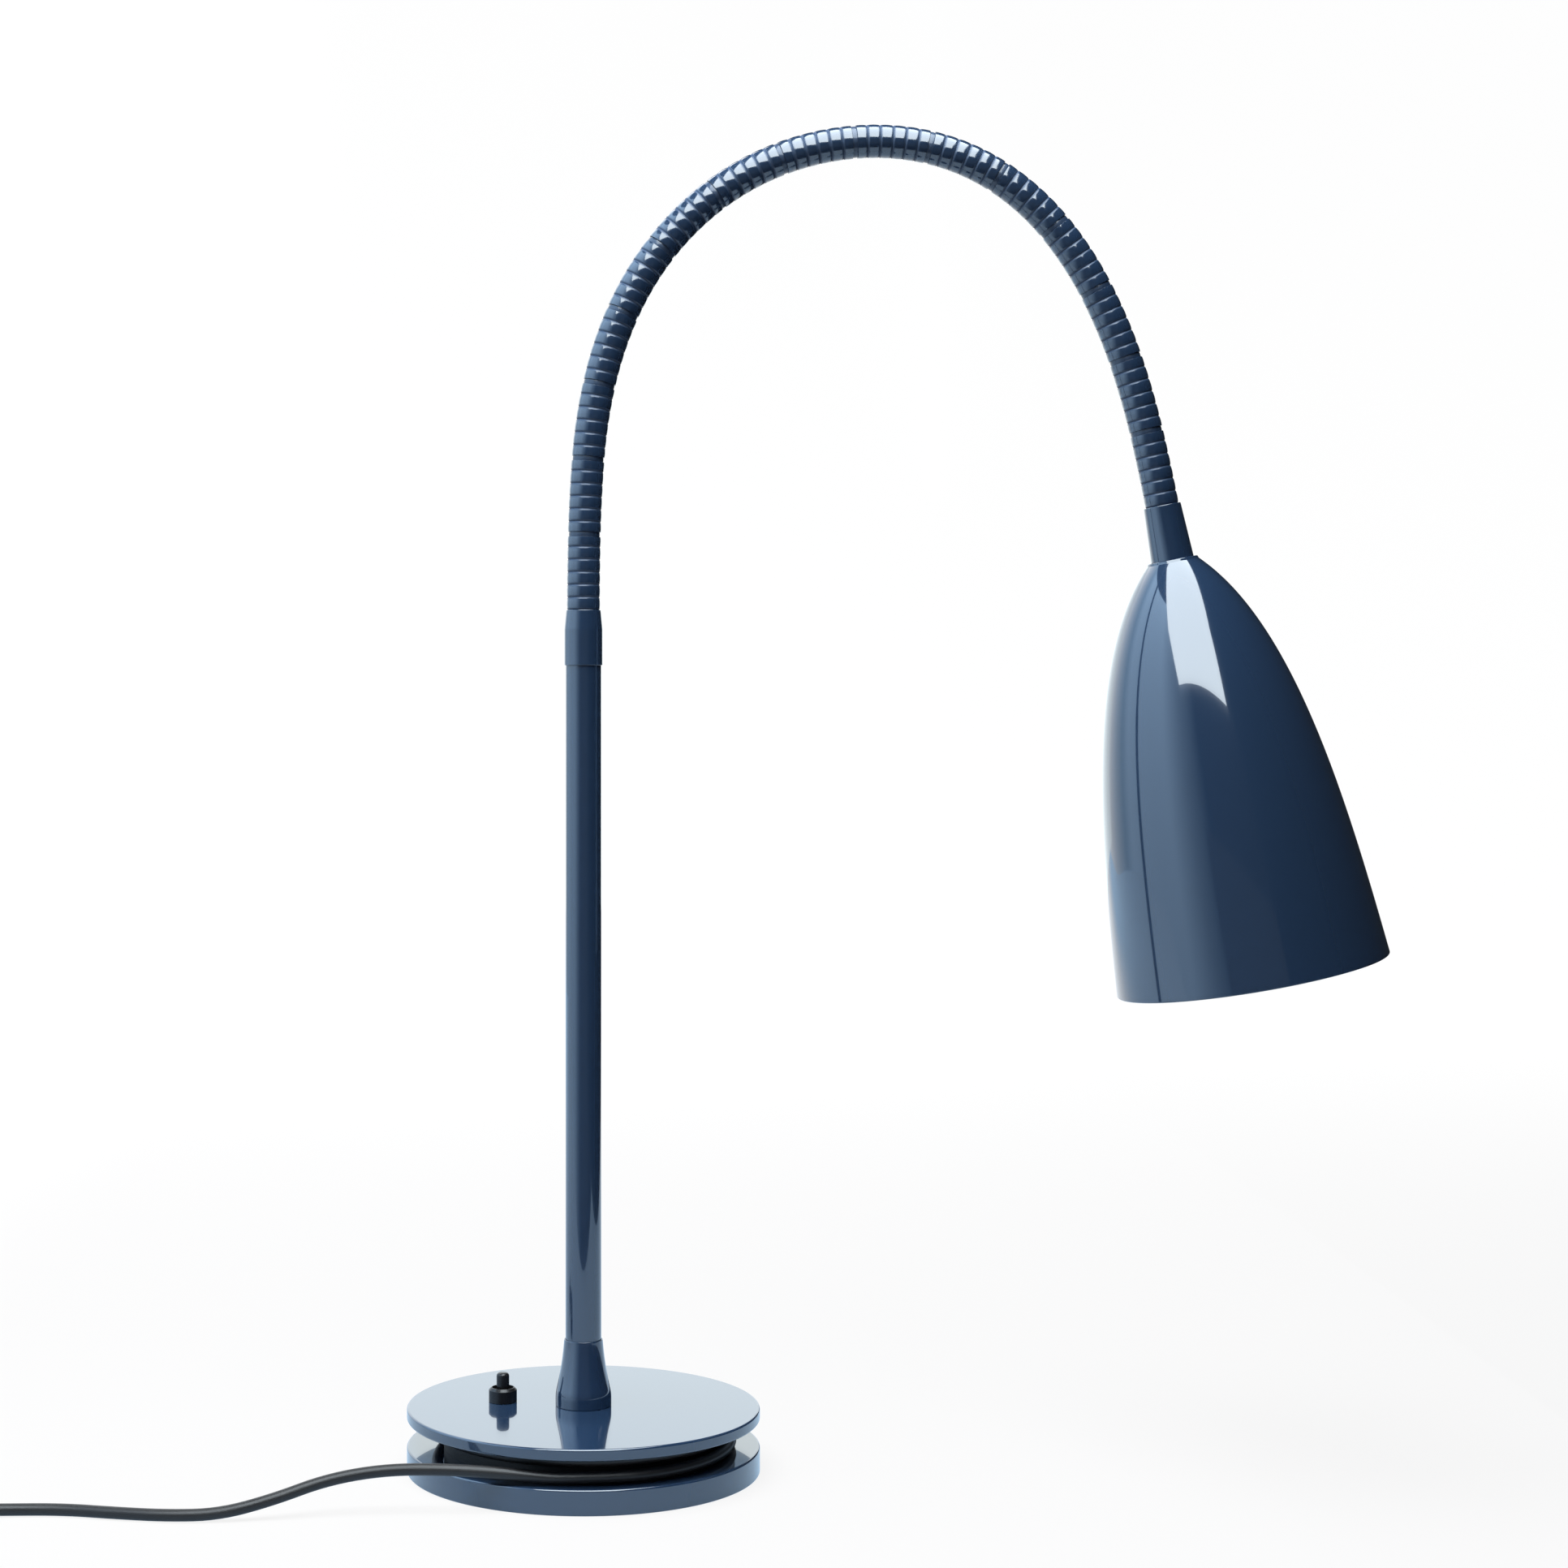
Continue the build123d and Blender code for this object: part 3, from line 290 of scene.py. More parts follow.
wrap_x, wrap_radius, wrap_low, wrap_top = 0.12, 1.8, -0.8, 2.4
wrap_from, wrap_to, wrap_columns = 20, 165, 60
wrap_level, wrap_level_rise = 1.17, 0.72
wrap_blue = (0.54, 0.76, 1.0)
wrap_stops = (
    (wrap_from, 0.0, wrap_blue),
    (40, 0.42, wrap_blue),
    (60, 1.0, wrap_blue),
    (110, 1.0, wrap_blue),
    (121, 0.62, (0.5, 0.75, 1.0)),
    (wrap_to, 0.7, (0.6, 0.82, 1.0)),
)
wrap_angle = np.radians(np.linspace(wrap_from, wrap_to, wrap_columns))
wrap_ring = np.stack([wrap_x - wrap_radius * np.sin(wrap_angle), -wrap_radius * np.cos(wrap_angle)], -1)
wrap_points = np.concatenate([np.c_[wrap_ring, np.full(wrap_columns, z)] for z in (wrap_low, wrap_top)])
left_wrap = lay_mesh("left_wrap", wrap_points, grid_faces(2, wrap_columns, False, False).tolist())
wrap_glow = bare_material("left_wrap")
wrap_tree = wrap_glow.node_tree
wrap_place = add_node(wrap_tree, "TexCoord")
wrap_split = add_node(wrap_tree, "SeparateXYZ")
wrap_left = add_node(wrap_tree, "Math", {0: wrap_x}, operation="SUBTRACT")
wrap_front = add_node(wrap_tree, "Math", {1: -1.0}, operation="MULTIPLY")
wrap_turn = add_node(wrap_tree, "Math", operation="ARCTAN2")
wrap_ends = {"From Min": math.radians(wrap_from), "From Max": math.radians(wrap_to)}
wrap_along = add_node(wrap_tree, "MapRange", wrap_ends)
wrap_tone = add_node(wrap_tree, "ValToRGB")
for degrees, share, tint in wrap_stops:
    stop = wrap_tone.color_ramp.elements.new((degrees - wrap_from) / (wrap_to - wrap_from))
    stop.color = (*(share * part for part in tint), 1)
wrap_tone.color_ramp.elements.remove(wrap_tone.color_ramp.elements[0])
wrap_tone.color_ramp.elements.remove(wrap_tone.color_ramp.elements[-1])
wrap_rise = add_node(wrap_tree, "Math", {1: wrap_level_rise, 2: wrap_level}, operation="MULTIPLY_ADD")
wrap_light = add_node(wrap_tree, "Emission")
wire(
    wrap_tree,
    (wrap_place, "Object", wrap_split, 0),
    (wrap_split, "X", wrap_left, 1),
    (wrap_split, "Y", wrap_front, 0),
    (wrap_left, 0, wrap_turn, 0),
    (wrap_front, 0, wrap_turn, 1),
    (wrap_turn, 0, wrap_along, "Value"),
    (wrap_along, "Result", wrap_tone, "Fac"),
    (wrap_split, "Z", wrap_rise, 0),
    (wrap_tone, "Color", wrap_light, "Color"),
    (wrap_rise, 0, wrap_light, "Strength"),
    (wrap_light, 0, wrap_tree.nodes["Material Output"], "Surface"),
)
left_wrap.data.materials.append(wrap_glow)
in_gloss_only(left_wrap)

# Cord: a round mains lead with a black flexible sheath. It comes out of the drum at the back, goes
# one and a half times round it, leaves at the front, lies on the table and ends in a tied coil with its plug.
MM = 0.001
cord_radius = 2.1
winding_radius, loose_reach = 52.9, 4.6
low_turn_z, high_turn_z = 11.6, 16.25
winding_from, winding_to, winding_leaves = 100, -455, -447
drop_from, drop_span = -160, 60
loose_from, loose_span = -345, 105
exit_run = 4.2
coil_x, coil_front_y = -248.0, -66.0
coil_low_z, coil_high_z = 2.8, 7.45
coil_radius, coil_pitch, coil_inner = 32.0, 2.325, 6
step = math.radians(15)
half_steps = 12
hold = (3 + math.cos(step)) / 4

grain = bpy.data.node_groups.new("grain", "ShaderNodeTree")
for socket, kind in (
    ("Place", "NodeSocketVector"),
    ("Tone A", "NodeSocketColor"),
    ("Tone B", "NodeSocketColor"),
    ("Patch scale", "NodeSocketFloat"),
    ("Grain scale", "NodeSocketFloat"),
    ("Smooth", "NodeSocketFloat"),
    ("Rough", "NodeSocketFloat"),
    ("Relief", "NodeSocketFloat"),
):
    grain.interface.new_socket(socket, in_out="INPUT", socket_type=kind)
for socket, kind in (
    ("Color", "NodeSocketColor"),
    ("Roughness", "NodeSocketFloat"),
    ("Normal", "NodeSocketVector"),
):
    grain.interface.new_socket(socket, in_out="OUTPUT", socket_type=kind)
grain_in = grain.nodes.new("NodeGroupInput")
grain_out = grain.nodes.new("NodeGroupOutput")
grain_patch = add_node(grain, "TexNoise", {"Detail": 3.0})
grain_fine = add_node(grain, "TexNoise", {"Detail": 2.0})
grain_tone = add_node(grain, "Mix", data_type="RGBA")
grain_rough = add_node(grain, "Mix")
grain_bump = add_node(grain, "Bump", {"Strength": 1.0})
wire(
    grain,
    (grain_in, "Place", grain_patch, "Vector"),
    (grain_in, "Patch scale", grain_patch, "Scale"),
    (grain_in, "Place", grain_fine, "Vector"),
    (grain_in, "Grain scale", grain_fine, "Scale"),
    (grain_patch, "Fac", grain_tone, "Factor"),
    (grain_in, "Tone A", grain_tone, "A"),
    (grain_in, "Tone B", grain_tone, "B"),
    (grain_patch, "Fac", grain_rough, "Factor"),
    (grain_in, "Smooth", grain_rough, "A"),
    (grain_in, "Rough", grain_rough, "B"),
    (grain_fine, "Fac", grain_bump, "Height"),
    (grain_in, "Relief", grain_bump, "Distance"),
    (grain_tone, "Result", grain_out, "Color"),
    (grain_rough, "Result", grain_out, "Roughness"),
    (grain_bump, "Normal", grain_out, "Normal"),
)


def finish(name, tones, patch_scale, grain_scale, roughness, relief, **sockets):
    """Finish whose colour drifts between two tones in patches, with a drifting roughness and a fine
    relief. Further sockets of the shader are given by name."""
    material = bpy.data.materials.new(name)
    material.use_nodes = True
    tree = material.node_tree
    shader = tree.nodes["Principled BSDF"]
    place = add_node(tree, "TexCoord")
    look = {
        "Tone A": (*tones[0], 1),
        "Tone B": (*tones[1], 1),
        "Patch scale": patch_scale,
        "Grain scale": grain_scale,
        "Smooth": roughness[0],
        "Rough": roughness[1],
        "Relief": relief,
    }
    surface = add_node(tree, "Group", look, node_tree=grain)
    wire(
        tree,
        (place, "Object", surface, "Place"),
        (surface, "Color", shader, "Base Color"),
        (surface, "Roughness", shader, "Roughness"),
        (surface, "Normal", shader, "Normal"),
    )
    for socket, value in sockets.items():
        shader.inputs[socket.replace("_", " ")].default_value = value
    return material


def coat(piece, material):
    """Gives a piece its finish. A node of the frame needs no more."""
    piece.data.materials.clear()
    piece.data.materials.append(material)


def wear(piece, material, slot, body, *stands_for):
    """Gives a new piece its finish and the body that it rides on, and hides the nodes that it stands
    for. The record slot that it is given is not used."""
    coat(piece, material)
    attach(piece, body)
    if stands_for:
        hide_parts(*stands_for)


def smooth(share):
    """Eased share: 3 s^2 - 2 s^3."""
    return share * share * (3 - 2 * share)


def turns(centre_x, centre_y, radius, first, last, z):
    """Control points of level turns: every 15 degrees, half a step in from both ends, at the radius over the
    share of it that a quadratic spline through such points keeps, (3 + cos 15) / 4."""
    count = round(abs(last - first) / step)
    angle = first + (np.arange(count) + 0.5) / count * (last - first)
    level = np.broadcast_to(z, angle.shape)
    reach = radius / hold
    return np.stack([centre_x + reach * np.cos(angle), centre_y + reach * np.sin(angle), level], -1)


start_angle, end_angle = math.radians(winding_from), math.radians(winding_to)
start_out = np.array([math.cos(start_angle), math.sin(start_angle), 0])
start_along = np.array([math.sin(start_angle), -math.cos(start_angle), 0])
cord_exit = winding_radius * start_out + (0, 0, high_turn_z) - start_along * exit_run
winding = turns(0, 0, winding_radius, start_angle, end_angle, 0)
winding_share = (np.arange(len(winding)) + 0.5) / len(winding)
winding_angle = winding_from + winding_share * (winding_to - winding_from)
drop = smooth(np.clip((drop_from - winding_angle) / drop_span, 0, 1))
winding[:, 2] = high_turn_z + (low_turn_z - high_turn_z) * drop
loose = smooth(np.clip((loose_from - winding_angle) / loose_span, 0, 1))
winding[:, :2] *= 1 + loose_reach / winding_radius * loose[:, None]
winding = winding[winding_angle > winding_leaves]
# Places of the lead and the tail on the table, in millimetres.
lead = np.array(
    [
        (-4.2, -57.5, 11.6),
        (-12.2, -57.5, 11.6),
        (-30.0, -57.4, 13.5),
        (-48.0, -57.3, 14.5),
        (-68.0, -57.4, 14.5),
        (-88.0, -59.8, 11.7),
        (-106.0, -66.0, 6.4),
        (-124.0, -69.6, 2.4),
        (-142.0, -70.0, 2.15),
        (-160.0, -66.6, 2.15),
        (-178.0, -62.2, 2.15),
        (-198.0, -62.6, 2.15),
        (-221.8, -66.0, 2.8),
        (-243.8, -66.0, 2.8),
    ]
)
half_turns_in, half_turns_out = range(coil_inner + 1), range(coil_inner - 1, 0, -1)
half_radii = [coil_radius - coil_pitch * n for n in (*half_turns_in, *half_turns_out)]
coil = []
coil_y, coil_angle = coil_front_y, math.radians(-90)
for turn, radius in enumerate(half_radii):
    side = 1 if turn % 2 == 0 else -1
    if turn == coil_inner:
        rise = smooth((np.arange(half_steps) + 0.5) / half_steps)
    else:
        rise = np.full(half_steps, float(turn > coil_inner))
    level = coil_low_z + (coil_high_z - coil_low_z) * rise
    coil.append(turns(coil_x, coil_y + side * radius, radius, coil_angle, coil_angle - math.pi, level))
    coil_y += 2 * side * radius
    coil_angle -= math.pi
coil.append(
    turns(coil_x, coil_y + coil_radius, coil_radius, coil_angle, coil_angle - math.pi / 2, coil_high_z)
)
tail = np.array([(-280.0, -31.0, 7.45), (-280.0, -18.0, 7.45), (-280.0, -10.0, 7.45)])
cord_points = np.concatenate([cord_exit[None], winding, lead, *coil, tail]) * MM

cord_line = bpy.data.curves.new("cord", "CURVE")
cord_line.dimensions = "3D"
cord_line.bevel_depth = cord_radius * MM
cord_line.bevel_resolution = 5
cord_line.use_fill_caps = True
cord_spline = cord_line.splines.new("NURBS")
cord_spline.points.add(len(cord_points) - 1)
cord_spline.points.foreach_set("co", np.c_[cord_points, np.ones(len(cord_points))].ravel())
cord_spline.order_u = 3
cord_spline.use_endpoint_u = True
cord_spline.resolution_u = 6
cord_spline.use_smooth = True
cord = bpy.data.objects.new("cord", cord_line)
scene.collection.objects.link(cord)
sheath = finish(
    "cord_sheath",
    tones=((0.011, 0.011, 0.012), (0.018, 0.0175, 0.018)),
    patch_scale=60,
    grain_scale=2600,
    roughness=(0.34, 0.46),
    relief=0.00004,
)
wear(cord, sheath, "cord_black", "stand", "cord_winding", "cord_lead", "cord_coil")
for name in ("mains_tail", "switch_wire", "cord_tie"):
    coat(nodes[name], sheath)

# Plug: a flat body with a sleeve that keeps the cord from kinking, and two round nickel pins. It is moulded
# onto the end of the cord and lies on the table beside the coil.
moulding = finish(
    "black_moulding",
    tones=((0.013, 0.013, 0.014), (0.02, 0.02, 0.021)),
    patch_scale=90,
    grain_scale=3200,
    roughness=(0.36, 0.48),
    relief=0.00003,
)
nickel = finish(
    "nickel",
    tones=((0.62, 0.60, 0.56), (0.7, 0.68, 0.64)),
    patch_scale=140,
    grain_scale=2400,
    roughness=(0.2, 0.32),
    relief=0.00001,
    Metallic=1.0,
)
coat(nodes["plug_body"], moulding)
coat(nodes["plug_pins"], nickel)


# Foot pad: a disc of dense black felt, glued into the underside of the lower disc, so that the lamp stands
# firmly and leaves no scratches.
def eased(corners, radii, steps=6):
    """Outline with rounded corners: each arc starts radius * tan(half the turn) before its corner and is
    tangent to both sides. Its points are centre - side * radius * left(heading), as the heading turns."""
    no_length, same_point = 1e-12, 1e-7
    corners, radii = np.asarray(corners, float), np.broadcast_to(radii, len(corners))
    into, out = corners - np.roll(corners, 1, 0), np.roll(corners, -1, 0) - corners
    into /= np.maximum(np.linalg.norm(into, axis=1), no_length)[:, None]
    out /= np.maximum(np.linalg.norm(out, axis=1), no_length)[:, None]
    turn = np.arctan2(into[:, 0] * out[:, 1] - into[:, 1] * out[:, 0], (into * out).sum(1))
    start = corners - into * (radii * np.tan(np.abs(turn) / 2))[:, None]
    side = np.sign(turn)[:, None]
    centre = start + side * radii[:, None] * np.stack([-into[:, 1], into[:, 0]], -1)
    heading = np.arctan2(into[:, 1], into[:, 0])[:, None] + turn[:, None] * np.linspace(0, 1, steps)
    left = np.stack([-np.sin(heading), np.cos(heading)], -1)
    points = (centre[:, None] - (side * radii[:, None])[:, None] * left).reshape(-1, 2)
    fresh = np.linalg.norm(points - np.roll(points, 1, 0), axis=1) > same_point
    return points[fresh]


def turned(name, outline, base=(0, 0, 0), axis=(0, 0, 1), segments=128):
    """A turned piece: every (radius, height) of an outline, in millimetres, goes round an axis. Point (i, j)
    is base + axis * height_i + radius_i * (side * cos a_j + back * sin a_j). The normal is the outline's
    tangent turned a quarter outwards. An outline that starts and ends on the axis is closed by two poles."""
    outline = np.asarray(outline, float)
    axis = np.asarray(axis, float) / np.linalg.norm(axis)
    side = np.cross([0, 1, 0], axis)
    side /= np.linalg.norm(side)
    back = np.cross(axis, side)
    tangent = np.roll(outline, -1, 0) - np.roll(outline, 1, 0)
    across = np.stack([tangent[:, 1], -tangent[:, 0]], -1)
    across /= np.linalg.norm(across, axis=1)[:, None]
    angle = np.arange(segments) / segments * 2 * np.pi
    ring = np.cos(angle)[:, None] * side + np.sin(angle)[:, None] * back
    on_axis = 1e-6
    poles = outline[0, 0] < on_axis
    body, lean = (outline[1:-1], across[1:-1]) if poles else (outline, across)
    points = (body[:, :1, None] * ring + body[:, 1:, None] * axis).reshape(-1, 3)
    normals = (lean[:, :1, None] * ring + lean[:, 1:, None] * axis).reshape(-1, 3)
    faces = grid_faces(len(body), segments, not poles, True).tolist()
    if poles:
        first, last = len(points), len(points) + 1
        here = np.arange(segments)
        beside = (here + 1) % segments
        top = (len(body) - 1) * segments
        faces += np.stack([np.full(segments, first), beside, here], -1).tolist()
        faces += np.stack([top + here, top + beside, np.full(segments, last)], -1).tolist()
        points = np.concatenate([points, outline[[0]][:, 1:] * axis, outline[[-1]][:, 1:] * axis])
        normals = np.concatenate([normals, [-axis], [axis]])
    return lay_mesh(name, (np.asarray(base, float) + points) * MM, faces, normals)


felt = finish(
    "felt",
    tones=((0.012, 0.012, 0.012), (0.03, 0.03, 0.031)),
    patch_scale=900,
    grain_scale=1800,
    roughness=(0.9, 1.0),
    relief=0.0002,
    Sheen_Weight=0.3,
)
pad_radius, pad_height = 59.0, 1.95
pad_corners = [(0, 0), (pad_radius, 0), (pad_radius, pad_height), (0, pad_height)]
pad = turned("pad", eased(pad_corners, radii=[0, 0.5, 0.2, 0]))
wear(pad, felt, "felt", "stand", "foot_pad")

# Lower disc: a heavy turned steel disc, lacquered, with the pad let into its underside and a well on top
# for the wiring. Three screws hold the discs and the drum together.
disc_radius, disc_round = 64.0, 0.8
plate_low, plate_high = 0.1, 9.1
recess_radius, recess_height = 59.1, 2.0
well_radius, well_floor = 42.2, 4.8
lacquer = finish(
    "blue_lacquer",
    tones=((0.0155, 0.0365, 0.081), (0.018, 0.041, 0.089)),
    patch_scale=14,
    grain_scale=700,
    roughness=(0.1, 0.14),
    relief=0.000002,
    Coat_Weight=1.0,
    Coat_Roughness=0.02,
    Coat_IOR=1.75,
)
zinc = finish(
    "zinc",
    tones=((0.5, 0.5, 0.48), (0.62, 0.62, 0.6)),
    patch_scale=200,
    grain_scale=1900,
    roughness=(0.3, 0.45),
    relief=0.00002,
    Metallic=1.0,
)
plate_corners = [
    (0, recess_height),
    (recess_radius, recess_height),
    (recess_radius, plate_low),
    (disc_radius, plate_low),
    (disc_radius, plate_high),
    (well_radius, plate_high),
    (well_radius, well_floor),
    (0, well_floor),
]
plate_rounds = [0, 0.1, 0.2, 0.4, disc_round, 0.2, 0.2, 0]
lower_disc = turned("lower_disc", eased(plate_corners, plate_rounds), segments=256)
wear(lower_disc, lacquer, "lacquer", "stand", "base_plate")
coat(nodes["base_screws"], zinc)

# Drum: a cast ring between the discs, painted black, that the cord is wound on. A tapered block lets the
# cord out of it at the back.
iron = finish(
    "black_iron",
    tones=((0.01, 0.01, 0.01), (0.02, 0.02, 0.02)),
    patch_scale=120,
    grain_scale=1500,
    roughness=(0.55, 0.7),
    relief=0.00008,
)
coat(nodes["cord_drum"], iron)
coat(nodes["cord_entry"], moulding)

# Upper disc: turned steel, lacquered to a mirror, with a hole for the switch. It lies on the drum, and the
# stem stands on its middle.
switch_x, switch_y, switch_hole = -29.4, 5.0, 3.9
cover_low, cover_high, hole_round = 18.75, 22.95, 0.15
cover_columns, edge_rows = 256, 8


def disc_with_hole(name, columns):
    """Disc with a hole off its middle. Columns are rays from the hole's middle, at angle v: a ray meets the
    rim at s(v) = -c.u + sqrt((c.u)^2 + R^2 - c.c). Rows are four rounded edges, at the top of the hole, the
    top and the bottom of the rim and the bottom of the hole: rim + r sin t outwards and r cos t up."""
    angle = np.arange(columns) / columns * 2 * np.pi
    ray = np.stack([np.cos(angle), np.sin(angle)], -1)
    middle = np.array([switch_x, switch_y])
    along = ray @ middle
    reach = -along + np.sqrt(along**2 + disc_radius**2 - middle @ middle)
    out = (middle + ray * reach[:, None]) / disc_radius
    hole_edge = middle + ray * (switch_hole + hole_round)
    rim_edge = out * (disc_radius - disc_round)
    falling = np.linspace(0, np.pi / 2, edge_rows)
    rising = falling[::-1]
    rows, normals = [], []
    for start, way, radius, height, up, tilts in (
        (hole_edge, -ray, hole_round, cover_high - hole_round, 1, rising),
        (rim_edge, out, disc_round, cover_high - disc_round, 1, falling),
        (rim_edge, out, disc_round, cover_low + disc_round, -1, rising),
        (hole_edge, -ray, hole_round, cover_low + hole_round, -1, falling),
    ):
        sine, cosine = np.sin(tilts)[:, None, None], np.cos(tilts)[:, None, None]
        lean = np.concatenate([way * sine, np.broadcast_to(up * cosine, (edge_rows, columns, 1))], -1)
        centre = np.c_[start, np.full(columns, height)]
        rows.append(centre + radius * lean)
        normals.append(lean)
    points, normals = np.concatenate(rows), np.concatenate(normals)
    faces = grid_faces(len(points), columns, True, True)[:, ::-1]
    return lay_mesh(name, points.reshape(-1, 3) * MM, faces.tolist(), normals.reshape(-1, 3))


upper_disc = disc_with_hole("upper_disc", cover_columns)
wear(upper_disc, lacquer, "lacquer", "stand", "base_cover")

# Wiring under the upper disc: a terminal block that joins the cord, the switch and the lamp cable. It is a
# white plastic moulding, out of sight in the hollow of the base.
white_moulding = finish(
    "white_moulding",
    tones=((0.72, 0.71, 0.68), (0.8, 0.79, 0.76)),
    patch_scale=80,
    grain_scale=2600,
    roughness=(0.4, 0.5),
    relief=0.00003,
)
coat(nodes["terminal_block"], white_moulding)

# Switch: a push-button in a black bush, held in the disc by a round nut with a bevelled top. All of it is
# black phenolic, and the button goes straight down when it is pressed.
switch_seat = (switch_x, switch_y, cover_high)
nut_radius, nut_height, nut_bevel = 5.1, 5.3, 0.9
button_radius, button_top = 2.3, 10.6
collar_radius, collar_low, collar_high = 3.5, -6.6, -5.4
phenolic = finish(
    "switch_phenolic",
    tones=((0.006, 0.006, 0.007), (0.011, 0.011, 0.012)),
    patch_scale=150,
    grain_scale=2800,
    roughness=(0.22, 0.32),
    relief=0.00001,
)
coat(nodes["switch_housing"], phenolic)
nut_corners = [
    (switch_hole, 0),
    (nut_radius, 0),
    (nut_radius, nut_height - nut_bevel),
    (nut_radius - nut_bevel, nut_height),
    (switch_hole, nut_height),
]
nut = turned("nut", eased(nut_corners, radii=[0.1, 0.2, 0.25, 0.2, 0.1]), base=switch_seat, segments=96)
wear(nut, phenolic, "switch_black", "stand", "switch_nut")
button_corners = [
    (0, collar_low),
    (collar_radius, collar_low),
    (collar_radius, collar_high),
    (button_radius, collar_high),
    (button_radius, button_top),
    (0, button_top),
]
button_outline = eased(button_corners, radii=[0, 0.2, 0.2, 0.2, 1.2, 0], steps=10)
button = turned("button", button_outline, base=switch_seat, segments=64)
wear(button, phenolic, "switch_black", "button", "switch_button")

# Stem: a lacquered steel tube on the upper disc, drawn down by a threaded nipple and nut inside it, with a
# flared foot round its bottom and a sleeve at its top that holds the neck.
stem_length, stem_radius, stem_bore = 268.6, 6.5, 5.5
foot_bore, foot_radius, foot_rim = 6.6, 10.1, 4.5
foot_top_radius, foot_height = 7.0, 24.0
flare_middle, flare_points = (8.116, 14.25), 40
rim_round, rim_points = 14.0, 5
plug_radius, plug_depth = 5.4, 16.0
sleeve_radius, sleeve_shoulder = 6.95, 13.1
sleeve_top_radius, sleeve_height = 6.3, 20.1
socket_radius, sleeve_floor, bore_radius = 5.1, 12.1, 2.8


def arc_through(first, middle, last, count):
    """Points of the circle through three points: its centre is equally far from all three, which gives two
    linear equations, and the angle then runs from the first point past the middle one to the last."""
    first, middle, last = (np.asarray(p, float) for p in (first, middle, last))
    lines = 2 * np.array([middle - first, last - first])
    centre = np.linalg.solve(lines, [middle @ middle - first @ first, last @ last - first @ first])
    angles = np.unwrap([math.atan2(*(p - centre)[::-1]) for p in (first, middle, last)])
    angle = np.linspace(angles[0], angles[2], count)
    return centre + np.linalg.norm(first - centre) * np.stack([np.cos(angle), np.sin(angle)], -1)


brass = finish(
    "brass",
    tones=((0.62, 0.44, 0.19), (0.7, 0.52, 0.25)),
    patch_scale=120,
    grain_scale=2200,
    roughness=(0.25, 0.4),
    relief=0.00001,
    Metallic=1.0,
)
coat(nodes["stem_insert"], brass)
for name in ("stem_nipple", "stem_washer", "stem_nut"):
    coat(nodes[name], zinc)
stem_top = cover_high + stem_length
tube_corners = [
    (stem_bore, cover_high),
    (stem_radius, cover_high),
    (stem_radius, stem_top),
    (stem_bore, stem_top),
]
tube = turned("tube", eased(tube_corners, radii=0.12))
wear(tube, lacquer, "lacquer", "stand", "stem_tube")
flare = arc_through((foot_radius, foot_rim), flare_middle, (foot_top_radius, foot_height), flare_points)
foot_ring = [(foot_bore, 0), (foot_radius, 0), (foot_radius, foot_rim)]
foot_corners = np.concatenate([foot_ring, flare[rim_points:], [(foot_bore, foot_height)]])
flare_rounds = np.zeros(flare_points - rim_points - 1)
foot_rounds = np.concatenate([[0.1, 0.3, rim_round], flare_rounds, [0.15, 0.1]])
foot = turned("foot", eased(foot_corners, foot_rounds), base=(0, 0, cover_high))
wear(foot, lacquer, "lacquer", "stand", "stem_foot")
sleeve_corners = [
    (bore_radius, -plug_depth),
    (plug_radius, -plug_depth),
    (plug_radius, 0),
    (sleeve_radius, 0),
    (sleeve_radius, sleeve_shoulder),
    (sleeve_top_radius, sleeve_height),
    (socket_radius, sleeve_height),
    (socket_radius, sleeve_floor),
    (bore_radius, sleeve_floor),
]
sleeve_rounds = [0.1, 0.1, 0.1, 0.2, 2.0, 0.3, 0.1, 0.1, 0.1]
neck_sleeve = turned("neck_sleeve", eased(sleeve_corners, sleeve_rounds), base=(0, 0, stem_top))
wear(neck_sleeve, lacquer, "lacquer", "stand", "neck_ferrule")

# Neck: a lacquered flexible neck that stays where it is bent. Its steel links have six turned ribs each, and
# a ball at the upper end of one turns in the seat of the next, with a bore for the cable through all of them.
neck_start = np.array([0, 0, stem_top + sleeve_height])
neck_length, ribs_per_link = 411.4, 6
link_turns = np.radians(
    [1.4, 2.9, 8.2, 11.3, 14.0, 15.2, 16.3, 15.8, 17.8, 20.1, 17.6, 12.2, 8.3, 5.6, 2.4]
)
link_count = len(link_turns)
link_length = neck_length / link_count
link_leans = np.concatenate([[0], np.cumsum(link_turns)])
rib_pitch = link_length / ribs_per_link
crest_radius, crest_swell, groove_depth, groove_from = 6.05, 0.2, 0.22, 0.72
# Painted shade in the neck's gloss: the share of a rib where it starts, how far it takes to grow full, and
# how deep it is on the joint faces and in the bore.
groove_shade_from, groove_shade_span, end_shade, bore_shade = 0.6, 0.3, 0.6, 1.0
ball_radius, seat_radius, ball_mouth, joint_gap = 5.62, 5.67, 3.7, 0.94
end_edge, mouth_edge, mouth_lean = 0.04, 0.1, 0.2
rib_rows, ball_rows, seat_rows, bore_rows, link_sides = 145, 14, 10, 9, 64
ring_angle = np.arange(link_sides) / link_sides * 2 * np.pi


def heading(lean):
    """Direction in the neck's plane that leans from upright towards +x."""
    return np.stack([np.sin(lean), np.zeros_like(lean), np.cos(lean)], -1)


half_turns = link_turns / 2
chords = heading(link_leans[:-1] + half_turns) * (link_length * np.sinc(half_turns / np.pi))[:, None]
link_starts = neck_start + np.concatenate([np.zeros((1, 3)), np.cumsum(chords, 0)])


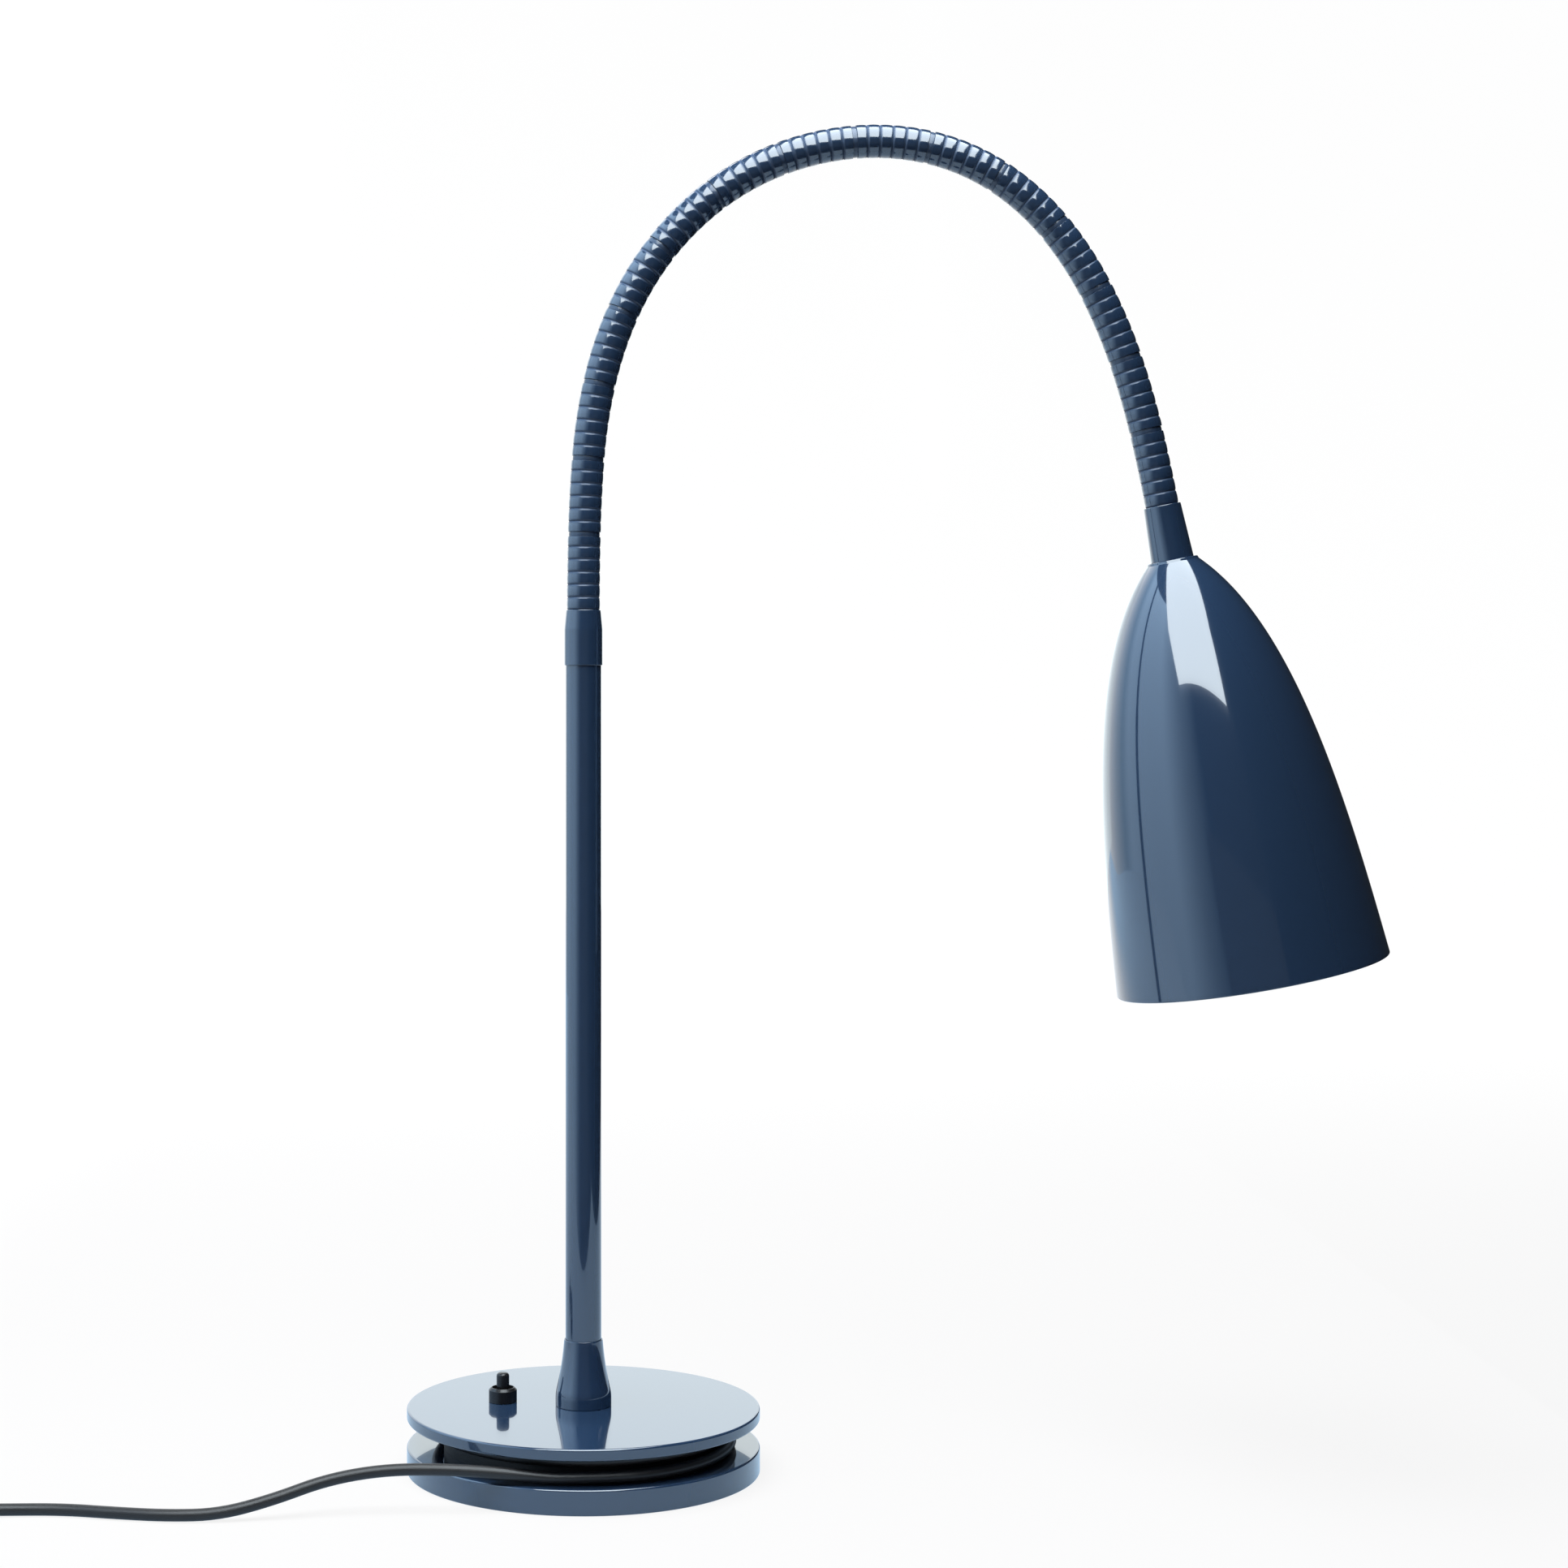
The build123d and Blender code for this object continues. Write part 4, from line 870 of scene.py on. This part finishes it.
def neck_line(distance):
    """Points and leans of the neck's middle line. Each link is an arc whose lean grows evenly, so a point is
    the link's start plus its chord: distance * sinc(half the turn so far), at the mean lean. Both ends run
    on straight."""
    inside = np.clip(distance, 0, neck_length)
    link = np.minimum((inside / link_length).astype(int), link_count - 1)
    along = inside - link * link_length
    half = link_turns[link] * along / link_length / 2
    lean = link_leans[link] + 2 * half
    points = link_starts[link] + heading(link_leans[link] + half) * (along * np.sinc(half / np.pi))[:, None]
    return points + heading(lean) * (distance - inside)[:, None], lean


def straight_line(joint, offset):
    """Points and leans of the tangent at a joint: the joint's point plus offset times its heading."""
    lean = np.full(len(offset), link_leans[joint])
    return link_starts[joint] + heading(lean) * offset[:, None], lean


def rings(line, radius, along, out, angle):
    """Rings round a line: point + radius * (across * cos angle + y * sin angle). A normal is out times the
    ring's direction plus along times the line's."""
    points, lean = line
    across = np.stack([np.cos(lean), np.zeros_like(lean), -np.sin(lean)], -1)
    ring = np.cos(angle)[None, :, None] * across[:, None] + np.sin(angle)[None, :, None] * np.array([0, 1, 0])
    radius, along, out = (np.broadcast_to(value, len(lean))[:, None, None] for value in (radius, along, out))
    return points[:, None] + radius * ring, out * ring + along * heading(lean)[:, None]


def rib_phase(distance):
    """Share of the way from a crest, 0, to the middle of a groove, 1."""
    return np.abs(2 * (distance / rib_pitch - np.floor(distance / rib_pitch)) - 1)


def rib_radius(distance):
    """Radius of the ribs: a crest that falls as u^2, with a groove that falls as a square near u = 1."""
    u = rib_phase(distance)
    groove = np.clip((u - groove_from) / (1 - groove_from), 0, 1)
    return crest_radius - crest_swell * u * u - groove_depth * groove**2


def ribbed_link(name, link):
    """A link from joint to joint as one closed skin. Outside are the ribs, short of both joints by a gap. The
    upper end is a ball, offset R sin p and radius R cos p, and the lower end is a seat of the same form with
    a larger R, both on the joint's tangent. The bore joins them, wider in the ball. The neck's two outer ends
    are flat."""
    first, last = link * link_length, (link + 1) * link_length
    low_gap = 0.0 if link == 0 else joint_gap
    high_gap = 0.0 if link == link_count - 1 else joint_gap
    ribs = np.linspace(first + low_gap + end_edge, last - high_gap - end_edge, rib_rows)
    radius = rib_radius(ribs)
    slope = np.gradient(radius, ribs)
    size = np.sqrt(1 + slope * slope)
    rows = [rings(neck_line(ribs), radius, -slope / size, 1 / size, ring_angle)]
    # Painted shade: it starts part way down each rib's flank, grows to full in the groove, and dulls the
    # gloss there.
    shades = [np.clip((rib_phase(ribs) - groove_shade_from) / groove_shade_span, 0, 1)]

    def add(line, row_radius, along, out, shade):
        """Adds rings round a line, all as deep in painted shade as a share of a groove."""
        rows.append(rings(line, row_radius, along, out, ring_angle))
        shades.append(np.full(len(line[1]), shade))

    tilt = np.linspace(-math.asin(high_gap / ball_radius), math.acos(ball_mouth / ball_radius), ball_rows)
    height, reach = ball_radius * np.sin(tilt), ball_radius * np.cos(tilt)
    inner_end = reach[0] if high_gap else bore_radius
    end_face = np.array([radius[-1] - end_edge, inner_end + end_edge])
    add(straight_line(link + 1, np.full(2, -high_gap)), end_face, 1.0, 0.0, end_shade)
    bore_top = last - end_edge
    if high_gap:
        add(straight_line(link + 1, height), reach, np.sin(tilt), np.cos(tilt), end_shade)
        mouth = straight_line(link + 1, height[-1:] - mouth_edge)
        add(mouth, ball_mouth - mouth_edge, mouth_lean, -1.0, bore_shade)
        bore_top = last
    tilt = np.linspace(math.acos(bore_radius / seat_radius), math.asin(low_gap / seat_radius), seat_rows)
    height, reach = seat_radius * np.sin(tilt), seat_radius * np.cos(tilt)
    bore_foot = first + (height[0] + mouth_edge if low_gap else end_edge)
    add(neck_line(np.linspace(bore_top, bore_foot, bore_rows)), bore_radius, 0.0, -1.0, bore_shade)
    if low_gap:
        add(straight_line(link, height), reach, -np.sin(tilt), -np.cos(tilt), bore_shade)
    inner_end = reach[-1] if low_gap else bore_radius
    end_face = np.array([inner_end + end_edge, radius[0] - end_edge])
    add(straight_line(link, np.full(2, low_gap)), end_face, -1.0, 0.0, end_shade)
    points, normals = (np.concatenate(part) for part in zip(*rows))
    faces = grid_faces(len(points), link_sides, True, True).tolist()
    piece = lay_mesh(name, points.reshape(-1, 3) * MM, faces, normals.reshape(-1, 3))
    in_groove = piece.data.attributes.new("groove", "FLOAT", "POINT")
    in_groove.data.foreach_set("value", np.repeat(np.concatenate(shades), link_sides))
    return piece


cable_radius, cable_bevel, cable_tip, cable_end, cable_edge = 2.0, 0.4, 0.2, 0.5, 0.6
bevel_lean = 0.7
cable_rows, cable_sides, cable_gap = 12, 16, 0.4
wiring_z, holder_reach = 11.7, 42.4


def cable_length(name, first, last):
    """Closed round length of cable along the neck's line, with ends that are bevelled over half a
    millimetre. A normal at a bevel leans halfway to the end."""
    run = np.linspace(first + cable_edge, last - cable_edge, cable_rows)
    distance = np.concatenate([[first, first, first + cable_end], run, [last - cable_end, last, last]])
    straight = np.ones(cable_rows + 2)
    bevel = cable_radius - cable_bevel
    radius = np.concatenate([[cable_tip, bevel], straight * cable_radius, [bevel, cable_tip]])
    along = np.concatenate([[-1, -bevel_lean], straight * 0, [bevel_lean, 1]])
    out = np.concatenate([[0, bevel_lean], straight, [bevel_lean, 0]])
    tip = np.arange(cable_sides)
    points, normals = rings(neck_line(distance), radius, along, out, tip / cable_sides * 2 * np.pi)
    faces = grid_faces(len(distance), cable_sides, False, True).tolist()
    faces += [tip[::-1].tolist(), ((len(distance) - 1) * cable_sides + tip).tolist()]
    return lay_mesh(name, points.reshape(-1, 3) * MM, faces, normals.reshape(-1, 3))


# Neck lacquer: the groove attribute fades the coat and roughens the lacquer in the grooves, on the joint
# faces and in the bore. This is painted shade where the ribs and links shade each other.
neck_lacquer = lacquer.copy()
neck_lacquer.name = "neck_lacquer"
neck_tree = neck_lacquer.node_tree
neck_shader = neck_tree.nodes["Principled BSDF"]
neck_shader.inputs["Coat Roughness"].default_value = 0.1
neck_groove = add_node(neck_tree, "Attribute", attribute_name="groove")
neck_coat = add_node(neck_tree, "Math", {0: 1.0}, operation="SUBTRACT", use_clamp=True)
neck_matt = add_node(neck_tree, "Math", {1: 0.45, 2: 0.14}, operation="MULTIPLY_ADD")
wire(
    neck_tree,
    (neck_groove, "Fac", neck_coat, 1),
    (neck_coat, 0, neck_shader, "Coat Weight"),
    (neck_groove, "Fac", neck_matt, 0),
    (neck_matt, 0, neck_shader, "Roughness"),
)
link_bodies = ["stand"] + [f"neck_{k:02d}" for k in range(1, link_count - 1)] + ["head"]
for link, body in enumerate(link_bodies):
    ribbed = ribbed_link(f"ribbed_link_{link:02d}", link)
    wear(ribbed, neck_lacquer, "lacquer", body, f"neck_link_{link:02d}")
    cable_low = link * link_length + cable_gap
    cable_high = (link + 1) * link_length - cable_gap
    if link == 0:
        cable_low = wiring_z - neck_start[2]
    if link == link_count - 1:
        cable_high = neck_length + holder_reach
    cable = cable_length(f"cable_{link:02d}", cable_low, cable_high)
    wear(cable, sheath, "cord_black", body)
    if link == 0:
        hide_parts("lamp_cable")

# Head sleeve: a tapered lacquered sleeve on the end of the neck. A nipple and a round nut clamp the shade
# to it from inside.
head_base = link_starts[-1]
head_way = heading(link_leans[-1:])[0]
head_low_radius, head_high_radius, head_length = 6.7, 7.7, 20.0
head_socket_floor, nipple_floor, nipple_radius = 8.0, 11.0, 4.1
head_corners = [
    (socket_radius, 0),
    (head_low_radius, 0),
    (head_high_radius, head_length),
    (nipple_radius, head_length),
    (nipple_radius, nipple_floor),
    (bore_radius, nipple_floor),
    (bore_radius, head_socket_floor),
    (socket_radius, head_socket_floor),
]
head_outline = eased(head_corners, radii=[0.1, 0.3, 0.15, 0.1, 0.1, 0.1, 0.1, 0.1])
head_sleeve = turned("head_sleeve", head_outline, base=head_base, axis=head_way)
wear(head_sleeve, lacquer, "lacquer", "head", "head_ferrule")
for name in ("head_nipple", "head_nut"):
    coat(nodes[name], zinc)


# Shade: spun from one aluminium sheet, lacquered blue outside and white inside, open at the mouth. Its flat
# crown is clamped between the head sleeve and the round nut.
def bezier(points, count):
    """Points of a cubic Bezier curve."""
    t = np.linspace(0, 1, count)[:, None]
    a, b, c, d = np.asarray(points, float)
    return (1 - t) ** 3 * a + 3 * (1 - t) ** 2 * t * b + 3 * (1 - t) * t**2 * c + t**3 * d


shade_rows, shade_segments, crown_radius, wall = 90, 192, 9.0, 1.0
crown_inner_radius, crown_floor = 8.0, head_length + wall
mouth_round_rows = 6
shade_outer = np.array([(9.35, 21.0), (37.4, 49.76), (44.19, 113.88), (49.15, 173.4)])
shade_inner = shade_outer + wall * np.array([(-0.72, 0.69), (-0.80, 0.60), (-0.97, 0.20), (-1.0, 0.0)])
outside, inside = bezier(shade_outer, shade_rows), bezier(shade_inner, shade_rows)[::-1]
crown_outer = [(nipple_radius, head_length), (crown_radius, head_length)]
crown_inner = [(crown_inner_radius, crown_floor), (nipple_radius, crown_floor)]
outer_rounds, inner_rounds = np.zeros(shade_rows - 2), np.zeros(shade_rows - 1)
shade_outline = eased(
    np.concatenate([crown_outer, outside, inside, crown_inner]),
    np.concatenate([[0.1, 0.5, 0.5], outer_rounds, [0.45, 0.45], inner_rounds, [0.1, 0.1]]),
)
shade = turned("shade_spun", shade_outline, base=head_base, axis=head_way, segments=shade_segments)
shade_white = finish(
    "shade_white",
    tones=((0.78, 0.77, 0.74), (0.84, 0.83, 0.8)),
    patch_scale=30,
    grain_scale=1500,
    roughness=(0.5, 0.6),
    relief=0.00002,
)
wear(shade, lacquer, "shade_lacquer", "head", "shade")
shade.data.materials.append(shade_white)
mouth_row = int(np.argmax(shade_outline[:, 1])) + mouth_round_rows
row_of_face = np.repeat(np.arange(len(shade_outline)), shade_segments)
shade.data.polygons.foreach_set("material_index", (row_of_face > mouth_row).astype(np.int32))

# Lampholder: a white heat-proof cap and sleeve, screwed together round the core that carries the contacts.
# The cap sits on the nipple inside the shade.
holder_radius, holder_bore, holder_neck = 13.0, 11.5, 7.2
cap_low, cap_neck, cap_shoulder, cap_high, cap_wall = 24.4, 32.4, 39.4, 46.3, 1.5
holder_low, holder_high = 46.4, 80.4
holder_grooves, groove_steps = (52.0, 73.0), ((0, 0), (0.4, 0.4), (0.4, 1.2), (0, 1.6))
cap_corners = [
    (nipple_radius, cap_low),
    (holder_neck, cap_low),
    (holder_neck, cap_neck),
    (holder_radius, cap_shoulder),
    (holder_radius, cap_high),
    (holder_bore, cap_high),
    (holder_bore, cap_shoulder + cap_wall),
    (holder_neck, cap_neck + cap_wall),
    (nipple_radius, cap_neck + cap_wall),
]
cap_shape = eased(cap_corners, radii=[0.1, 0.4, 1.0, 1.2, 0.3, 0.1, 0.5, 0.5, 0.1])
holder_cap = turned("lampholder_cap", cap_shape, base=head_base, axis=head_way)
wear(holder_cap, white_moulding, "holder_white", "head", "holder_cap")
grooves = [(holder_radius - depth, low + rise) for low in holder_grooves for depth, rise in groove_steps]
holder_corners = [
    (holder_bore, holder_low),
    (holder_radius, holder_low),
    *grooves,
    (holder_radius, holder_high),
    (holder_bore, holder_high),
]
holder_shape = eased(holder_corners, radii=[0.1, 0.2] + [0.15] * len(grooves) + [0.5, 0.3])
holder_sleeve = turned("lampholder_sleeve", holder_shape, base=head_base, axis=head_way)
wear(holder_sleeve, white_moulding, "holder_white", "head", "holder_sleeve")
coat(nodes["holder_core"], white_moulding)

# Bulb: an opal glass globe on a rolled metal screw cap. It is screwed into the lampholder and ends short of
# the shade's mouth.
contact_radius, contact_low, contact_high = 3.0, 51.4, 53.0
cap_radius, thread_depth, thread_pitch = 6.9, 0.25, 2.82
thread_low, thread_high, rim_low, bulb_seam = 56.0, 75.5, 76.0, 77.0
insulator = (6.0, 54.2)
globe_radius, globe_neck, globe_neck_z = 22.5, 10.0, 85.0
neck_rise = (20.0, 95.0)
thread_rows, globe_rows = 140, 70
thread = np.linspace(thread_low, thread_high, thread_rows)
thread_wave = np.cos((thread - thread_low) / thread_pitch * 2 * np.pi)
contact = [(0, contact_low), (contact_radius, contact_low), (contact_radius, contact_high), insulator]
cap_outline = np.concatenate(
    [
        eased(contact, radii=[0, 0.5, 0.3, 0])[:-1],
        np.stack([cap_radius - thread_depth + thread_depth * thread_wave, thread], -1),
        [(cap_radius, rim_low), (cap_radius, bulb_seam), (0, bulb_seam)],
    ]
)
cap_metal = finish(
    "cap_metal",
    tones=((0.66, 0.66, 0.64), (0.74, 0.74, 0.72)),
    patch_scale=160,
    grain_scale=1800,
    roughness=(0.24, 0.36),
    relief=0.00001,
    Metallic=1.0,
)
bulb_cap = turned("screw_cap", cap_outline, base=head_base, axis=head_way)
wear(bulb_cap, cap_metal, "cap_metal", "head", "bulb_cap")
globe_centre = globe_neck_z + math.sqrt(globe_radius**2 - globe_neck**2)
globe_low = math.atan2(globe_neck_z - globe_centre, globe_neck)
globe_angle = np.linspace(globe_low, math.pi / 2, globe_rows)
globe_round = globe_radius * np.stack([np.cos(globe_angle), np.sin(globe_angle)], -1)
globe_foot = [(0, bulb_seam), (cap_radius, bulb_seam), (globe_neck, globe_neck_z), neck_rise]
globe_outline = np.concatenate(
    [
        [(0, bulb_seam)],
        eased(globe_foot, radii=[0, 0.3, 1.5, 0])[1:-1],
        globe_round[2:] + (0, globe_centre),
    ]
)
globe_outline[-1, 0] = 0
opal = finish(
    "opal_glass",
    tones=((0.86, 0.86, 0.83), (0.9, 0.9, 0.87)),
    patch_scale=40,
    grain_scale=900,
    roughness=(0.12, 0.18),
    relief=0.000001,
    Coat_Weight=0.5,
)
globe = turned("globe", globe_outline, base=head_base, axis=head_way)
wear(globe, opal, "opal_glass", "head", "bulb_globe")
